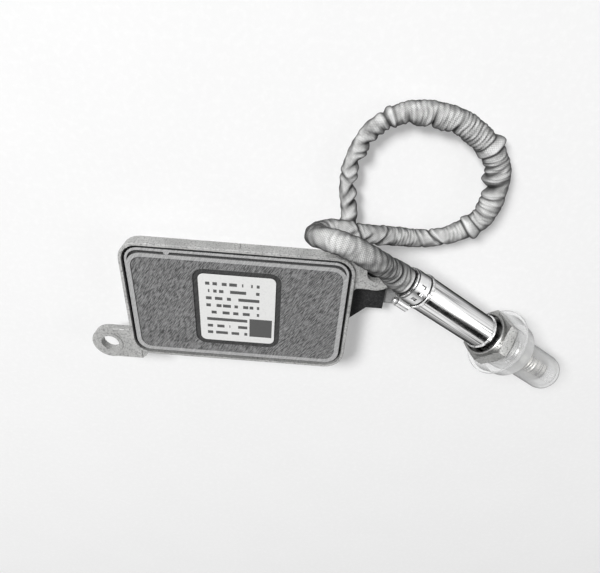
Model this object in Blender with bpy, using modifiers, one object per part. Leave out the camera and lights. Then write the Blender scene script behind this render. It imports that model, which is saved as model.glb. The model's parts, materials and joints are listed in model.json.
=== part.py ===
"""Nitrogen oxide sensor: a flat control box, a sleeved cable and an exhaust probe.

Frame: metres, +Z up, origin at the middle of the control box's flat back.
+X runs along the box towards its connector, +Y towards its cable entry.
The probe's pieces are drawn along the +Z of their own frame, from the cable end.
"""
import math

import bmesh
import bpy
import numpy as np
from mathutils import Matrix, Vector

MM = 0.001

# Clearances
FIT_GAP = 0.3 * MM
SEAL_GAP = 0.3 * MM

# Control box: cast tub under a wider flange
BOX_WIDTH = 102.0 * MM
BOX_HEIGHT = 61.6 * MM
BOX_DEPTH = 15.0 * MM
BOX_CORNER = 9.0 * MM
FLANGE_DEPTH = 6.2 * MM
TUB_INSET_SIDE = 3.5 * MM
TUB_INSET_TOP = 5.2 * MM
TUB_CORNER = 6.0 * MM
TUB_WALL = 2.0 * MM
TUB_FLOOR = 2.0 * MM
CAST_EDGE = 0.6 * MM

# Lid pocket in the flange, the sealing bead in it, and the lid
POCKET_INSET = 1.5 * MM
POCKET_DEPTH = 3.2 * MM
SEAL_WIDTH = 0.6 * MM
SEAL_HEIGHT = 1.3 * MM
LID_SINK = 0.4 * MM
LID_LIP = 1.1 * MM
LID_CHANNEL_DEPTH = 0.7 * MM
LID_EDGE = 0.3 * MM
PANEL_SIDE_MARGIN = 2.2 * MM
PANEL_TOP_MARGIN = 4.3 * MM
PANEL_FOOT_MARGIN = 1.9 * MM
PANEL_CORNER = 5.0 * MM
PANEL_LIP = 1.8 * MM
PANEL_DEPTH = 0.4 * MM
NOTCH_INSET = 21.2 * MM
NOTCH_RADIUS = 1.3 * MM

# Label and its pocket
LABEL_WIDTH = 34.4 * MM
LABEL_HEIGHT = 36.8 * MM
LABEL_CORNER = 2.6 * MM
LABEL_THICKNESS = 0.3 * MM
LABEL_OFFSET = -0.9 * MM
LABEL_MARGIN = 2.4 * MM
LABEL_POCKET_DEPTH = 0.5 * MM

# Ears, each placed from the flange's nearest corner
EAR_RADIUS = 8.8 * MM
EAR_THICKNESS = 3.4 * MM
EAR_STEP = 1.6 * MM
EAR_HOLE_RADIUS = 4.3 * MM
EAR_BOSS_RADIUS = 6.0 * MM
EAR_BOSS_HEIGHT = 0.3 * MM
EAR_EDGE = 0.5 * MM
EAR_FILLET = 2.4 * MM
EAR_SWEEP = 4.6 * MM
LEFT_EAR_OUT = 11.3 * MM
LEFT_EAR_RISE = 3.8 * MM
RIGHT_EAR_OUT = 9.0 * MM
RIGHT_EAR_FALL = 6.9 * MM
EAR_MARK_BACK = 5.8 * MM
EAR_MARK_FALL = 6.3 * MM
EAR_MARK_RADIUS = 1.9 * MM
EAR_MARK_HEIGHT = 0.25 * MM

# Nub on the long side of the flange
NUB_WIDTH = 2.4 * MM
NUB_HEIGHT = 3.4 * MM
NUB_STANDOUT = 0.5 * MM

# Circuit board and what is soldered to it
BOARD_MARGIN = 2.0 * MM
BOARD_THICKNESS = 1.6 * MM
BOARD_CORNER = 3.0 * MM
BOARD_CLEARANCE = 0.8 * MM
PILLAR_RADIUS = 2.8 * MM
PILLAR_INSETS = (8.0 * MM, 4.0 * MM)
SCREW_RADIUS = 1.1 * MM
SCREW_HEAD_RADIUS = 2.2 * MM
SCREW_HEAD_HEIGHT = 1.4 * MM
SCREW_LENGTH = 3.2 * MM
CHIP_PLACE = (-14.0 * MM, 4.0 * MM)
CHIP_SIZE = (12.0 * MM, 12.0 * MM, 1.5 * MM)
DRIVER_PLACE = (12.0 * MM, -8.0 * MM)
DRIVER_SIZE = (10.0 * MM, 9.0 * MM, 4.4 * MM)
COIL_INSET = 15.0 * MM
COIL_OFFSET = -10.0 * MM
COIL_SIZE = (8.0 * MM, 8.0 * MM, 4.0 * MM)
CAN_RADIUS = 3.15 * MM
CAN_HEIGHT = 5.8 * MM
CAN_PLACES = ((10.0 * MM, 10.0 * MM), (20.0 * MM, 10.0 * MM))
SOLDER_GAP = 0.3 * MM

# Connector
SHROUD_LENGTH = 18.5 * MM
SHROUD_WIDTH = 20.0 * MM
SHROUD_HEIGHT = 7.6 * MM
SHROUD_LIFT = 0.3 * MM
SHROUD_FALL = 19.0 * MM
SHROUD_WALL = 1.2 * MM
SHROUD_BACK = 2.6 * MM
SHROUD_CORNER = 1.2 * MM
PLUG_LENGTH = 4.0 * MM
PLUG_WIDTH = 16.0 * MM
PLUG_HEIGHT = 4.6 * MM
GUSSET_LENGTH = 11.0 * MM
GUSSET_DROP = 9.6 * MM
COLLAR_STANDOUT = 5.6 * MM
COLLAR_WALL = 0.7 * MM
COLLAR_CHAMFER = 1.2 * MM
PIN_COUNT = 5
PIN_PITCH = 2.6 * MM
PIN_WIDTH = 1.0 * MM
PIN_THICKNESS = 0.6 * MM
PIN_TIP_INSET = 0.2 * MM
PIN_INSIDE = 9.0 * MM

# Cable entry: a round turret, a rubber grommet and the wires in it
ENTRY_INSET = 8.0 * MM
ENTRY_HEIGHT = 6.2 * MM
ENTRY_RADIUS = 5.9 * MM
ENTRY_STANDOUT = 1.8 * MM
ENTRY_ROOT = 3.4 * MM
ENTRY_BORE_RADIUS = 3.2 * MM
GROMMET_FLANGE_RADIUS = 5.2 * MM
GROMMET_FLANGE = 1.7 * MM
GROMMET_BORE_RADIUS = 1.9 * MM
WIRES_RADIUS = 1.6 * MM
WIRES_INSIDE = 13.0 * MM

# Sleeved cable: the route's own points, from the box's corner beside the entry, and the steps
# read from the smooth curve
SLEEVE_RADIUS = 4.2 * MM
SLEEVE_STEP = 4.6 * MM
SLEEVE_LEAD = 1.0 * MM
ROUTE_MM = (
    (-8.0, 4.3, 6.2), (-5.7, 12.6, 4.9), (-6.2, 18.8, 4.4), (-7.4, 25.7, 4.3), (-6.8, 37.3, 4.3),
    (-3.0, 47.4, 4.3), (4.6, 54.5, 4.3), (13.3, 57.6, 4.5), (22.7, 57.5, 4.7), (32.7, 54.7, 4.7),
    (42.5, 48.4, 4.8), (49.1, 39.6, 4.8), (51.4, 30.1, 4.8), (50.0, 20.8, 4.7), (44.1, 13.1, 4.6),
    (34.3, 8.3, 4.5), (23.4, 7.2, 5.4), (12.0, 8.7, 8.7), (1.1, 10.6, 12.3), (-6.7, 12.7, 14.2),
    (-14.4, 13.0, 16.0), (-18.9, 14.2, 23.0), (-15.7, 17.4, 32.0), (-6.6, 16.5, 35.5),
    (2.3, 10.9, 32.8), (10.6, 3.1, 26.0),
)

# Probe: where its cable end lies from the same corner, and where it points
PROBE_OUT = 20.0 * MM
PROBE_FALL = 5.4 * MM
PROBE_LIFT = 20.66 * MM
PROBE_HEADING = math.radians(-32.85)
PROBE_DROP = math.radians(4.39)

# Probe sleeve: the neck crimped under the band with its rolled rim, the bead and the front lip
TUBE_RADIUS = 7.65 * MM
TUBE_WALL = 1.1 * MM
TUBE_LENGTH = 47.0 * MM
TUBE_NECK_RADIUS = 6.4 * MM
RIM_STANDOUT = 0.5 * MM
RIM_LENGTH = 0.8 * MM
BEAD_GAP = 0.5 * MM
BEAD_LENGTH = 1.5 * MM
BEAD_RADIUS = 7.95 * MM
LIP_LENGTH = 1.4 * MM
LIP_RADIUS = 8.3 * MM
GROMMET_LENGTH = 8.0 * MM

# Clamp band, its rolled ear and the pin in the ear
BAND_START = 1.2 * MM
BAND_LENGTH = 5.9 * MM
BAND_WALL = 0.5 * MM
BAND_WINDOW_WIDTH = 1.5 * MM
BAND_WINDOW_LENGTH = 2.6 * MM
BAND_WINDOW_ANGLES = (-38.0, -12.0, 14.0)
BARREL_ANGLE = math.radians(-24.0)
BARREL_RADIUS = 1.9 * MM
BARREL_BORE = 1.2 * MM
BARREL_START = 0.8 * MM
PIN_SHANK_RADIUS = 0.9 * MM
PIN_HEAD_RADIUS = 1.6 * MM

# Turned body inside the sleeve and the nut
BODY_ROOT = 14.0 * MM
BODY_BORE_RADIUS = 5.0 * MM
BODY_NECK_RADIUS = 7.6 * MM
SEAT_RADIUS = 9.3 * MM
SEAT_LENGTH = 1.4 * MM
SEAT_CONE = 1.6 * MM
SPIGOT_LENGTH = 2.6 * MM

# Swivel nut
NUT_STANDOFF = 2.9 * MM
NUT_ACROSS = 22.0 * MM
NUT_HEX = 5.4 * MM
NUT_TURN = math.radians(-6.0)
NUT_THREAD_RADIUS = 10.0 * MM
NUT_THREAD = 5.3 * MM
NUT_COLLAR_RADIUS = 10.2 * MM
NUT_COLLAR = 1.4 * MM
NUT_RECESS_RADIUS = 9.4 * MM
NUT_RECESS = 1.4 * MM
NUT_CHAMFER = 0.8 * MM

# Ceramic parts around the sensing strip
STRIP_WIDTH = 3.8 * MM
STRIP_THICKNESS = 1.3 * MM
STRIP_ROOT = 25.0 * MM
STRIP_LENGTH = 60.0 * MM
HOLDER_ROOT = 29.0 * MM
HOLDER_LENGTH = 12.0 * MM
REAR_CERAMIC_INSET = 3.0 * MM
REAR_CERAMIC = 14.0 * MM
POWDER = 6.0 * MM
FRONT_CERAMIC = 5.5 * MM

# Protection tubes, one in the other
SHELL_WALL = 0.5 * MM
INNER_SHELL_LENGTH = 19.5 * MM
OUTER_SHELL_LENGTH = 22.5 * MM
SHELL_RING_COUNT = 7
SHELL_RING_PITCH = 1.7 * MM
SHELL_RING_HEIGHT = 0.35 * MM
SHELL_RING_START = 2.4 * MM
GAS_HOLE_RADIUS = 0.9 * MM
GAS_HOLE_COUNT = 6

# Transport cap over the thread and the protection tubes
CAP_GAP = 1.3 * MM
CAP_BRIM_RADIUS = 15.6 * MM
CAP_BRIM = 1.5 * MM
CAP_RING_RADIUS = 13.0 * MM
CAP_RING_FLARE = 1.3 * MM
CAP_RING = 8.0 * MM
CAP_FRONT_WALL = 1.2 * MM
CAP_TUBE_RADIUS = 8.65 * MM
CAP_TUBE_WALL = 1.25 * MM
CAP_LENGTH = 37.6 * MM
CAP_END_ROUND = 3.6 * MM

ROUND_STEPS = 48
SMALL_ROUND_STEPS = 24


def start_scene():
    """Empty the scene and make the two collections."""
    for old in list(bpy.data.objects):
        bpy.data.objects.remove(old, do_unlink=True)
    made = []
    for name in ("nitrogen_oxide_sensor", "cutters"):
        collection = bpy.data.collections.new(name)
        bpy.context.scene.collection.children.link(collection)
        made.append(collection)
    return made


PARTS, CUTTERS = start_scene()


def material(name, colour, roughness, metallic=0.0):
    """A Principled material with the piece's own colour."""
    made = bpy.data.materials.new(name)
    made.use_nodes = True
    shader = made.node_tree.nodes["Principled BSDF"]
    shader.inputs["Base Color"].default_value = (*colour, 1.0)
    shader.inputs["Roughness"].default_value = roughness
    shader.inputs["Metallic"].default_value = metallic
    made.diffuse_color = (*colour, 1.0)
    return made


CAST_METAL = material("cast_aluminium", (0.62, 0.62, 0.61), 0.5, 0.9)
LID_PLASTIC = material("dark_lid_plastic", (0.09, 0.09, 0.092), 0.55)
SEALANT = material("black_sealant", (0.03, 0.03, 0.03), 0.7)
LABEL_FILM = material("label_film", (0.86, 0.86, 0.85), 0.4)
BOARD_LAMINATE = material("board_laminate", (0.02, 0.16, 0.07), 0.5)
CHIP_RESIN = material("chip_resin", (0.02, 0.02, 0.022), 0.6)
FERRITE = material("ferrite", (0.1, 0.1, 0.11), 0.7)
CAN_METAL = material("can_aluminium", (0.75, 0.75, 0.76), 0.3, 1.0)
SCREW_STEEL = material("screw_steel", (0.55, 0.55, 0.56), 0.35, 1.0)
CONNECTOR_PLASTIC = material("connector_plastic", (0.025, 0.025, 0.027), 0.5)
COLLAR_PLASTIC = material("collar_plastic", (0.36, 0.36, 0.37), 0.5)
TINNED_BRASS = material("tinned_brass", (0.7, 0.68, 0.6), 0.3, 1.0)
RUBBER = material("black_rubber", (0.03, 0.03, 0.03), 0.8)
WIRE_COATING = material("wire_coating", (0.5, 0.5, 0.48), 0.6)
TEXTILE = material("sleeve_textile", (0.34, 0.34, 0.335), 0.9)
BAND_STEEL = material("band_steel", (0.62, 0.62, 0.62), 0.3, 1.0)
TUBE_STEEL = material("tube_steel", (0.66, 0.66, 0.66), 0.25, 1.0)
NUT_STEEL = material("nut_steel", (0.6, 0.6, 0.6), 0.35, 1.0)
SHELL_STEEL = material("shell_steel", (0.58, 0.57, 0.55), 0.35, 1.0)
CERAMIC = material("ceramic", (0.85, 0.84, 0.8), 0.6)
POWDER_FILL = material("packed_powder", (0.7, 0.7, 0.68), 0.95)
CAP_PLASTIC = material("cap_plastic", (0.85, 0.86, 0.86), 0.35)


def add(name, mesh, finish, parent=None):
    """Put a mesh in the scene as one named piece, or as a cutter when it has no finish."""
    made = bpy.data.objects.new(name, mesh)
    if finish is None:
        CUTTERS.objects.link(made)
        made.hide_render = True
        made.display_type = "WIRE"
    else:
        PARTS.objects.link(made)
        mesh.materials.append(finish)
    made.parent = parent
    return made


def frame(name, matrix, parent=None):
    """An empty that pieces are parented to; it stands on their axis."""
    made = bpy.data.objects.new(name, None)
    PARTS.objects.link(made)
    made.parent = parent
    made.matrix_local = matrix
    return made


def block(name, size, centre, low, finish=None, corner=0.0, edge=0.0, sides=6, parent=None):
    """A block of the given size standing on height low, with its upright corners rounded."""
    bm = bmesh.new()
    bmesh.ops.create_cube(bm, size=1.0)
    bmesh.ops.scale(bm, vec=size, verts=bm.verts)
    if corner:
        upright = [e for e in bm.edges if abs(e.verts[0].co.z - e.verts[1].co.z) > size[2] / 2]
        bmesh.ops.bevel(bm, geom=upright, offset=corner, segments=sides, profile=0.5,
                        affect="EDGES", material=-1)
    if edge:
        top = size[2] / 2
        rim = [e for e in bm.edges if all(v.co.z > top - edge / 10 for v in e.verts)]
        bmesh.ops.bevel(bm, geom=rim, offset=edge, segments=2, profile=0.5,
                        affect="EDGES", material=-1)
    bmesh.ops.translate(bm, vec=(centre[0], centre[1], low + size[2] / 2), verts=bm.verts)
    mesh = bpy.data.meshes.new(name)
    bm.to_mesh(mesh)
    bm.free()
    return add(name, mesh, finish, parent)


def rod(name, radius, centre, low, high, finish=None, steps=SMALL_ROUND_STEPS, parent=None):
    """A round bar along Z from height low to height high."""
    bm = bmesh.new()
    bmesh.ops.create_cone(bm, cap_ends=True, segments=steps, radius1=radius, radius2=radius,
                          depth=high - low)
    bmesh.ops.translate(bm, vec=(centre[0], centre[1], (low + high) / 2), verts=bm.verts)
    mesh = bpy.data.meshes.new(name)
    bm.to_mesh(mesh)
    bm.free()
    mesh.shade_smooth()
    mesh.set_sharp_from_angle(angle=math.radians(35.0))
    return add(name, mesh, finish, parent)


def turned(name, profile, finish=None, steps=ROUND_STEPS, parent=None):
    """A turned piece: (radius, height) points down the outer side, spun by a Screw modifier."""
    mesh = bpy.data.meshes.new(name)
    points = [(radius, 0.0, height) for radius, height in profile]
    edges = [(i, i + 1) for i in range(len(points) - 1)]
    if profile[0][0] > 0.0:
        edges.append((len(points) - 1, 0))
    mesh.from_pydata(points, edges, [])
    made = add(name, mesh, finish, parent)
    spin = made.modifiers.new("Turn", "SCREW")
    spin.axis = "Z"
    spin.steps = steps
    spin.render_steps = steps
    spin.use_merge_vertices = True
    spin.merge_threshold = 0.00001
    spin.use_smooth_shade = True
    return made


def prism(name, corners, low, high):
    """A flat outline raised from height low to height high."""
    bm = bmesh.new()
    face = bm.faces.new([bm.verts.new((x, y, low)) for x, y in corners])
    face.normal_update()
    grown = bmesh.ops.extrude_face_region(bm, geom=[face])
    raised = [v for v in grown["geom"] if isinstance(v, bmesh.types.BMVert)]
    bmesh.ops.translate(bm, vec=(0.0, 0.0, high - low), verts=raised)
    bmesh.ops.recalc_face_normals(bm, faces=bm.faces)
    mesh = bpy.data.meshes.new(name)
    bm.to_mesh(mesh)
    bm.free()
    return add(name, mesh, None)


def combine(target, other, operation="DIFFERENCE"):
    """Cut, join or intersect a piece with another shape."""
    step = target.modifiers.new(other.name, "BOOLEAN")
    step.operation = operation
    step.solver = "EXACT"
    step.object = other


def group(name, shapes):
    """One cutter made of several separate shapes."""
    bm = bmesh.new()
    for shape in shapes:
        bm.from_mesh(shape.data)
        bpy.data.objects.remove(shape, do_unlink=True)
    mesh = bpy.data.meshes.new(name)
    bm.to_mesh(mesh)
    bm.free()
    return add(name, mesh, None)


LEFT_EAR = (-BOX_WIDTH / 2 - LEFT_EAR_OUT, LEFT_EAR_RISE - BOX_HEIGHT / 2)
RIGHT_EAR = (BOX_WIDTH / 2 + RIGHT_EAR_OUT, BOX_HEIGHT / 2 - RIGHT_EAR_FALL)
EAR_MARK_PLACE = (RIGHT_EAR[0] - EAR_MARK_BACK, RIGHT_EAR[1] - EAR_MARK_FALL)
NOTCH_PLACE = NOTCH_INSET - BOX_WIDTH / 2
SHROUD_PLACE = BOX_HEIGHT / 2 - SHROUD_FALL
ENTRY_PLACE = BOX_WIDTH / 2 - ENTRY_INSET
ENTRY_REACH = BOX_HEIGHT / 2 + ENTRY_STANDOUT
ROUTE_CORNER = (BOX_WIDTH / 2, BOX_HEIGHT / 2, 0.0)
PROBE_REAR = (BOX_WIDTH / 2 + PROBE_OUT, BOX_HEIGHT / 2 - PROBE_FALL, PROBE_LIFT)
BAND_END = BAND_START + BAND_LENGTH
BEAD_START = BAND_END + BEAD_GAP
BODY_START = TUBE_LENGTH - BODY_ROOT
NUT_START = TUBE_LENGTH + NUT_STANDOFF
STRIP_START = TUBE_LENGTH - STRIP_ROOT
HOLDER_START = TUBE_LENGTH - HOLDER_ROOT
REAR_CERAMIC_START = BODY_START + REAR_CERAMIC_INSET
FLANGE_LOW = BOX_DEPTH - FLANGE_DEPTH
TUB_WIDTH = BOX_WIDTH - 2 * TUB_INSET_SIDE
TUB_HEIGHT = BOX_HEIGHT - 2 * TUB_INSET_TOP
CAVITY_WIDTH = TUB_WIDTH - 2 * TUB_WALL
CAVITY_HEIGHT = TUB_HEIGHT - 2 * TUB_WALL
POCKET_FLOOR = BOX_DEPTH - POCKET_DEPTH
EAR_TOP = BOX_DEPTH - EAR_STEP
EAR_LOW = EAR_TOP - EAR_THICKNESS
SEAL_INSET = POCKET_INSET + SEAL_GAP
LID_INSET = SEAL_INSET + SEAL_WIDTH + SEAL_GAP
LID_LOW = POCKET_FLOOR + FIT_GAP
LID_TOP = BOX_DEPTH - LID_SINK
LID_WIDTH = BOX_WIDTH - 2 * LID_INSET
LID_HEIGHT = BOX_HEIGHT - 2 * LID_INSET
PANEL_WIDTH = LID_WIDTH - 2 * PANEL_SIDE_MARGIN
PANEL_HEIGHT = LID_HEIGHT - PANEL_TOP_MARGIN - PANEL_FOOT_MARGIN
PANEL_OFFSET = (PANEL_FOOT_MARGIN - PANEL_TOP_MARGIN) / 2
PANEL_TOP = LID_TOP - PANEL_DEPTH
LABEL_LOW = PANEL_TOP - LABEL_POCKET_DEPTH + FIT_GAP
BOARD_WIDTH = CAVITY_WIDTH - 2 * BOARD_MARGIN
BOARD_HEIGHT = CAVITY_HEIGHT - 2 * BOARD_MARGIN
COIL_PLACE = (COIL_INSET - BOARD_WIDTH / 2, COIL_OFFSET)
BOARD_LOW = TUB_FLOOR + BOARD_CLEARANCE
BOARD_TOP = BOARD_LOW + BOARD_THICKNESS
PIN_LOW = BOARD_TOP + SOLDER_GAP
PIN_MIDDLE = PIN_LOW + PIN_THICKNESS / 2
TUB_SIDE = TUB_WIDTH / 2
SHROUD_START = TUB_SIDE + FIT_GAP
SHROUD_REACH = SHROUD_START + SHROUD_LENGTH
COLLAR_REACH = SHROUD_REACH + COLLAR_STANDOUT
PIN_TIP = SHROUD_REACH - PIN_TIP_INSET
PIN_ROOT = TUB_SIDE - PIN_INSIDE
PILLAR_PLACES = [(x * (BOARD_WIDTH / 2 - PILLAR_INSETS[0]), y * (BOARD_HEIGHT / 2 - PILLAR_INSETS[1]))
                 for x in (-1, 1) for y in (-1, 1)]


def outline(name, inset, low, high, finish=None, edge=0.0):
    """A block with the box's outline, set in all round by inset."""
    size = (BOX_WIDTH - 2 * inset, BOX_HEIGHT - 2 * inset, high - low)
    return block(name, size, (0.0, 0.0), low, finish, BOX_CORNER - inset, edge)


def along_y(name, radius, start, end, finish=None, steps=SMALL_ROUND_STEPS):
    """A round bar on the cable entry's axis, along Y."""
    made = rod(name, radius, (0.0, 0.0), start, end, finish, steps)
    made.data.transform(entry_matrix())
    return made


def entry_matrix():
    """The cable entry's axis: +Z of the turned shapes lies along +Y of the box."""
    turn = Matrix.Rotation(math.radians(-90.0), 4, "X")
    return Matrix.Translation((ENTRY_PLACE, 0.0, ENTRY_HEIGHT)) @ turn


def make_ear(base, side, place):
    """Join one mounting ear to the base and bore its hole."""
    reach = abs(place[0]) - TUB_SIDE
    centre_x = math.copysign(TUB_SIDE + reach / 2, place[0])
    tab = block(f"ear_tab_{side}", (reach, 2 * EAR_RADIUS, EAR_THICKNESS), (centre_x, place[1]),
                EAR_LOW, edge=EAR_EDGE)
    end = rod(f"ear_end_{side}", EAR_RADIUS, place, EAR_LOW, EAR_TOP, steps=ROUND_STEPS)
    boss = rod(f"ear_boss_{side}", EAR_BOSS_RADIUS, place, EAR_LOW + EAR_EDGE,
               EAR_TOP + EAR_BOSS_HEIGHT, steps=ROUND_STEPS)
    hole = rod(f"ear_hole_{side}", EAR_HOLE_RADIUS, place, EAR_LOW - FIT_GAP,
               EAR_TOP + EAR_BOSS_HEIGHT + FIT_GAP)
    for shape in (tab, end, boss, *ear_webs(side, place)):
        combine(base, shape, "UNION")
    return hole


def ear_webs(side, place):
    """Fillet between the ear and the flange's side, and the sweep into its long edge."""
    out = math.copysign(1.0, place[0])
    wall = BOX_WIDTH / 2
    inner_y = place[1] - math.copysign(EAR_RADIUS, place[1])
    outer_y = place[1] + math.copysign(EAR_RADIUS, place[1])
    rim_y = math.copysign(BOX_HEIGHT / 2 - CAST_EDGE, place[1])
    toward = math.copysign(1.0, place[1])
    angles = [i * math.pi / 10 for i in range(6)]
    fillet = [(out * (wall - EAR_FILLET), inner_y + toward * EAR_FILLET),
              (out * (wall - EAR_FILLET), inner_y - toward * EAR_FILLET)]
    fillet += [(out * (wall + EAR_FILLET * (1 - math.cos(a))),
                inner_y - toward * EAR_FILLET * (1 - math.sin(a))) for a in angles]
    fillet.append((out * (wall + EAR_FILLET), inner_y + toward * EAR_FILLET))
    overlap = out * (TUB_SIDE + EAR_EDGE)
    sweep = [(overlap, rim_y - toward * EAR_SWEEP), (overlap, outer_y - toward * EAR_EDGE / 2),
             (out * TUB_SIDE, outer_y - toward * EAR_EDGE / 2)]
    sweep += [(out * (TUB_SIDE - EAR_SWEEP * i / 6),
               outer_y + (rim_y - outer_y) * (1 - math.cos(math.pi * i / 6)) / 2) for i in range(2, 7)]
    sweep.append((out * (TUB_SIDE - EAR_SWEEP), rim_y - toward * EAR_SWEEP))
    return (prism(f"ear_fillet_{side}", fillet, EAR_LOW + EAR_EDGE, EAR_TOP - EAR_EDGE),
            prism(f"ear_sweep_{side}", sweep, EAR_LOW + EAR_EDGE, EAR_TOP - EAR_EDGE))


def make_base():
    """Cast base: tub, flange, ears, cable turret, board pillars and every opening."""
    base = block("housing_base", (TUB_WIDTH, TUB_HEIGHT, FLANGE_LOW + FLANGE_DEPTH / 2), (0.0, 0.0),
                 0.0, CAST_METAL, TUB_CORNER)
    flange = outline("flange", 0.0, FLANGE_LOW, BOX_DEPTH, edge=CAST_EDGE)
    combine(base, flange, "UNION")
    turret = along_y("entry_turret", ENTRY_RADIUS, TUB_HEIGHT / 2 - ENTRY_ROOT, ENTRY_REACH,
                     steps=ROUND_STEPS)
    combine(base, turret, "UNION")
    holes = [make_ear(base, "left", LEFT_EAR), make_ear(base, "right", RIGHT_EAR)]
    mark = rod("ear_mark", EAR_MARK_RADIUS, EAR_MARK_PLACE, EAR_LOW + EAR_EDGE,
               EAR_TOP + EAR_MARK_HEIGHT)
    combine(base, mark, "UNION")
    nub = block("side_nub", (NUB_WIDTH, 2 * NUB_STANDOUT, NUB_HEIGHT), (0.0, BOX_HEIGHT / 2),
                FLANGE_LOW + (FLANGE_DEPTH - NUB_HEIGHT) / 2, corner=NUB_STANDOUT / 2, sides=2)
    combine(base, nub, "UNION")
    cavity = block("cavity", (CAVITY_WIDTH, CAVITY_HEIGHT, BOX_DEPTH), (0.0, 0.0), TUB_FLOOR,
                   corner=TUB_CORNER - TUB_WALL)
    combine(base, cavity)
    combine(base, outline("lid_pocket", POCKET_INSET, POCKET_FLOOR, BOX_DEPTH + FLANGE_DEPTH))
    pillar_top = BOARD_LOW - FIT_GAP
    pillars = [rod(f"pillar_{i}", PILLAR_RADIUS, place, TUB_FLOOR / 2, pillar_top)
               for i, place in enumerate(PILLAR_PLACES)]
    combine(base, group("pillars", pillars), "UNION")
    bores = [rod(f"pillar_bore_{i}", SCREW_RADIUS + FIT_GAP, place,
                 BOARD_TOP - SCREW_LENGTH - FIT_GAP, BOARD_TOP)
             for i, place in enumerate(PILLAR_PLACES)]
    combine(base, group("bores", bores + holes))
    plug_hole = block("plug_hole", (4 * TUB_WALL, PLUG_WIDTH + 2 * FIT_GAP, PLUG_HEIGHT + 2 * FIT_GAP),
                      (TUB_SIDE, SHROUD_PLACE), PIN_MIDDLE - PLUG_HEIGHT / 2 - FIT_GAP)
    combine(base, plug_hole)
    combine(base, along_y("entry_bore", ENTRY_BORE_RADIUS, CAVITY_HEIGHT / 2 - TUB_WALL,
                          ENTRY_REACH + TUB_WALL))
    return base


def make_lid():
    """Lid with its outer lip, channel, raised panel border and sunk label place."""
    lid = outline("housing_lid", LID_INSET, LID_LOW, LID_TOP, LID_PLASTIC, LID_EDGE)
    channel = outline("lid_channel", LID_INSET + LID_LIP, LID_TOP - LID_CHANNEL_DEPTH,
                      LID_TOP + LID_CHANNEL_DEPTH)
    border = (PANEL_WIDTH + 2 * PANEL_LIP, PANEL_HEIGHT + 2 * PANEL_LIP, BOX_DEPTH)
    island = block("panel_island", border, (0.0, PANEL_OFFSET), 0.0, corner=PANEL_CORNER + PANEL_LIP)
    notch = rod("lip_notch", NOTCH_RADIUS, (NOTCH_PLACE, LID_HEIGHT / 2 - LID_LIP), LID_LOW, LID_TOP)
    combine(channel, island)
    combine(channel, notch)
    combine(lid, channel)
    panel = block("panel_recess", (PANEL_WIDTH, PANEL_HEIGHT, BOX_DEPTH), (0.0, PANEL_OFFSET),
                  PANEL_TOP, corner=PANEL_CORNER)
    combine(lid, panel)
    pocket = block("label_pocket", (LABEL_WIDTH + 2 * LABEL_MARGIN, LABEL_HEIGHT + 2 * LABEL_MARGIN,
                                    BOX_DEPTH), (0.0, LABEL_OFFSET), PANEL_TOP - LABEL_POCKET_DEPTH,
                   corner=LABEL_CORNER + LABEL_MARGIN)
    combine(lid, pocket)
    seal = outline("lid_seal", SEAL_INSET, LID_LOW, LID_LOW + SEAL_HEIGHT, SEALANT)
    combine(seal, outline("seal_inside", SEAL_INSET + SEAL_WIDTH, 0.0, BOX_DEPTH))
    block("label", (LABEL_WIDTH, LABEL_HEIGHT, LABEL_THICKNESS), (0.0, LABEL_OFFSET), LABEL_LOW,
          LABEL_FILM, LABEL_CORNER)


def make_board():
    """Circuit board, its four screws and the parts soldered to it."""
    board = block("circuit_board", (BOARD_WIDTH, BOARD_HEIGHT, BOARD_THICKNESS), (0.0, 0.0),
                  BOARD_LOW, BOARD_LAMINATE, BOARD_CORNER, sides=3)
    holes = [rod(f"board_hole_{i}", SCREW_RADIUS + FIT_GAP, place, BOARD_LOW - FIT_GAP,
                 BOARD_TOP + FIT_GAP) for i, place in enumerate(PILLAR_PLACES)]
    combine(board, group("board_holes", holes))
    low = BOARD_TOP + SOLDER_GAP
    for number, place in enumerate(PILLAR_PLACES, start=1):
        tip = BOARD_TOP - SCREW_LENGTH
        profile = [(0.0, low + SCREW_HEAD_HEIGHT), (SCREW_HEAD_RADIUS * 0.8, low + SCREW_HEAD_HEIGHT),
                   (SCREW_HEAD_RADIUS, low + SCREW_HEAD_HEIGHT / 2), (SCREW_HEAD_RADIUS, low),
                   (SCREW_RADIUS, low), (SCREW_RADIUS, tip + SCREW_RADIUS / 2), (0.0, tip)]
        spot = frame(f"screw_place_{number}", Matrix.Translation((*place, 0.0)))
        turned(f"board_screw_{number}", profile, SCREW_STEEL, 20, spot)
    block("processor_chip", CHIP_SIZE, CHIP_PLACE, low, CHIP_RESIN)
    block("heater_driver", DRIVER_SIZE, DRIVER_PLACE, low, CHIP_RESIN)
    block("choke_coil", COIL_SIZE, COIL_PLACE, low, FERRITE, COIL_SIZE[0] / 4, sides=3)
    for side, place in zip(("left", "right"), CAN_PLACES):
        rod(f"capacitor_{side}", CAN_RADIUS, place, low, low + CAN_HEIGHT, CAN_METAL)


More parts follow.
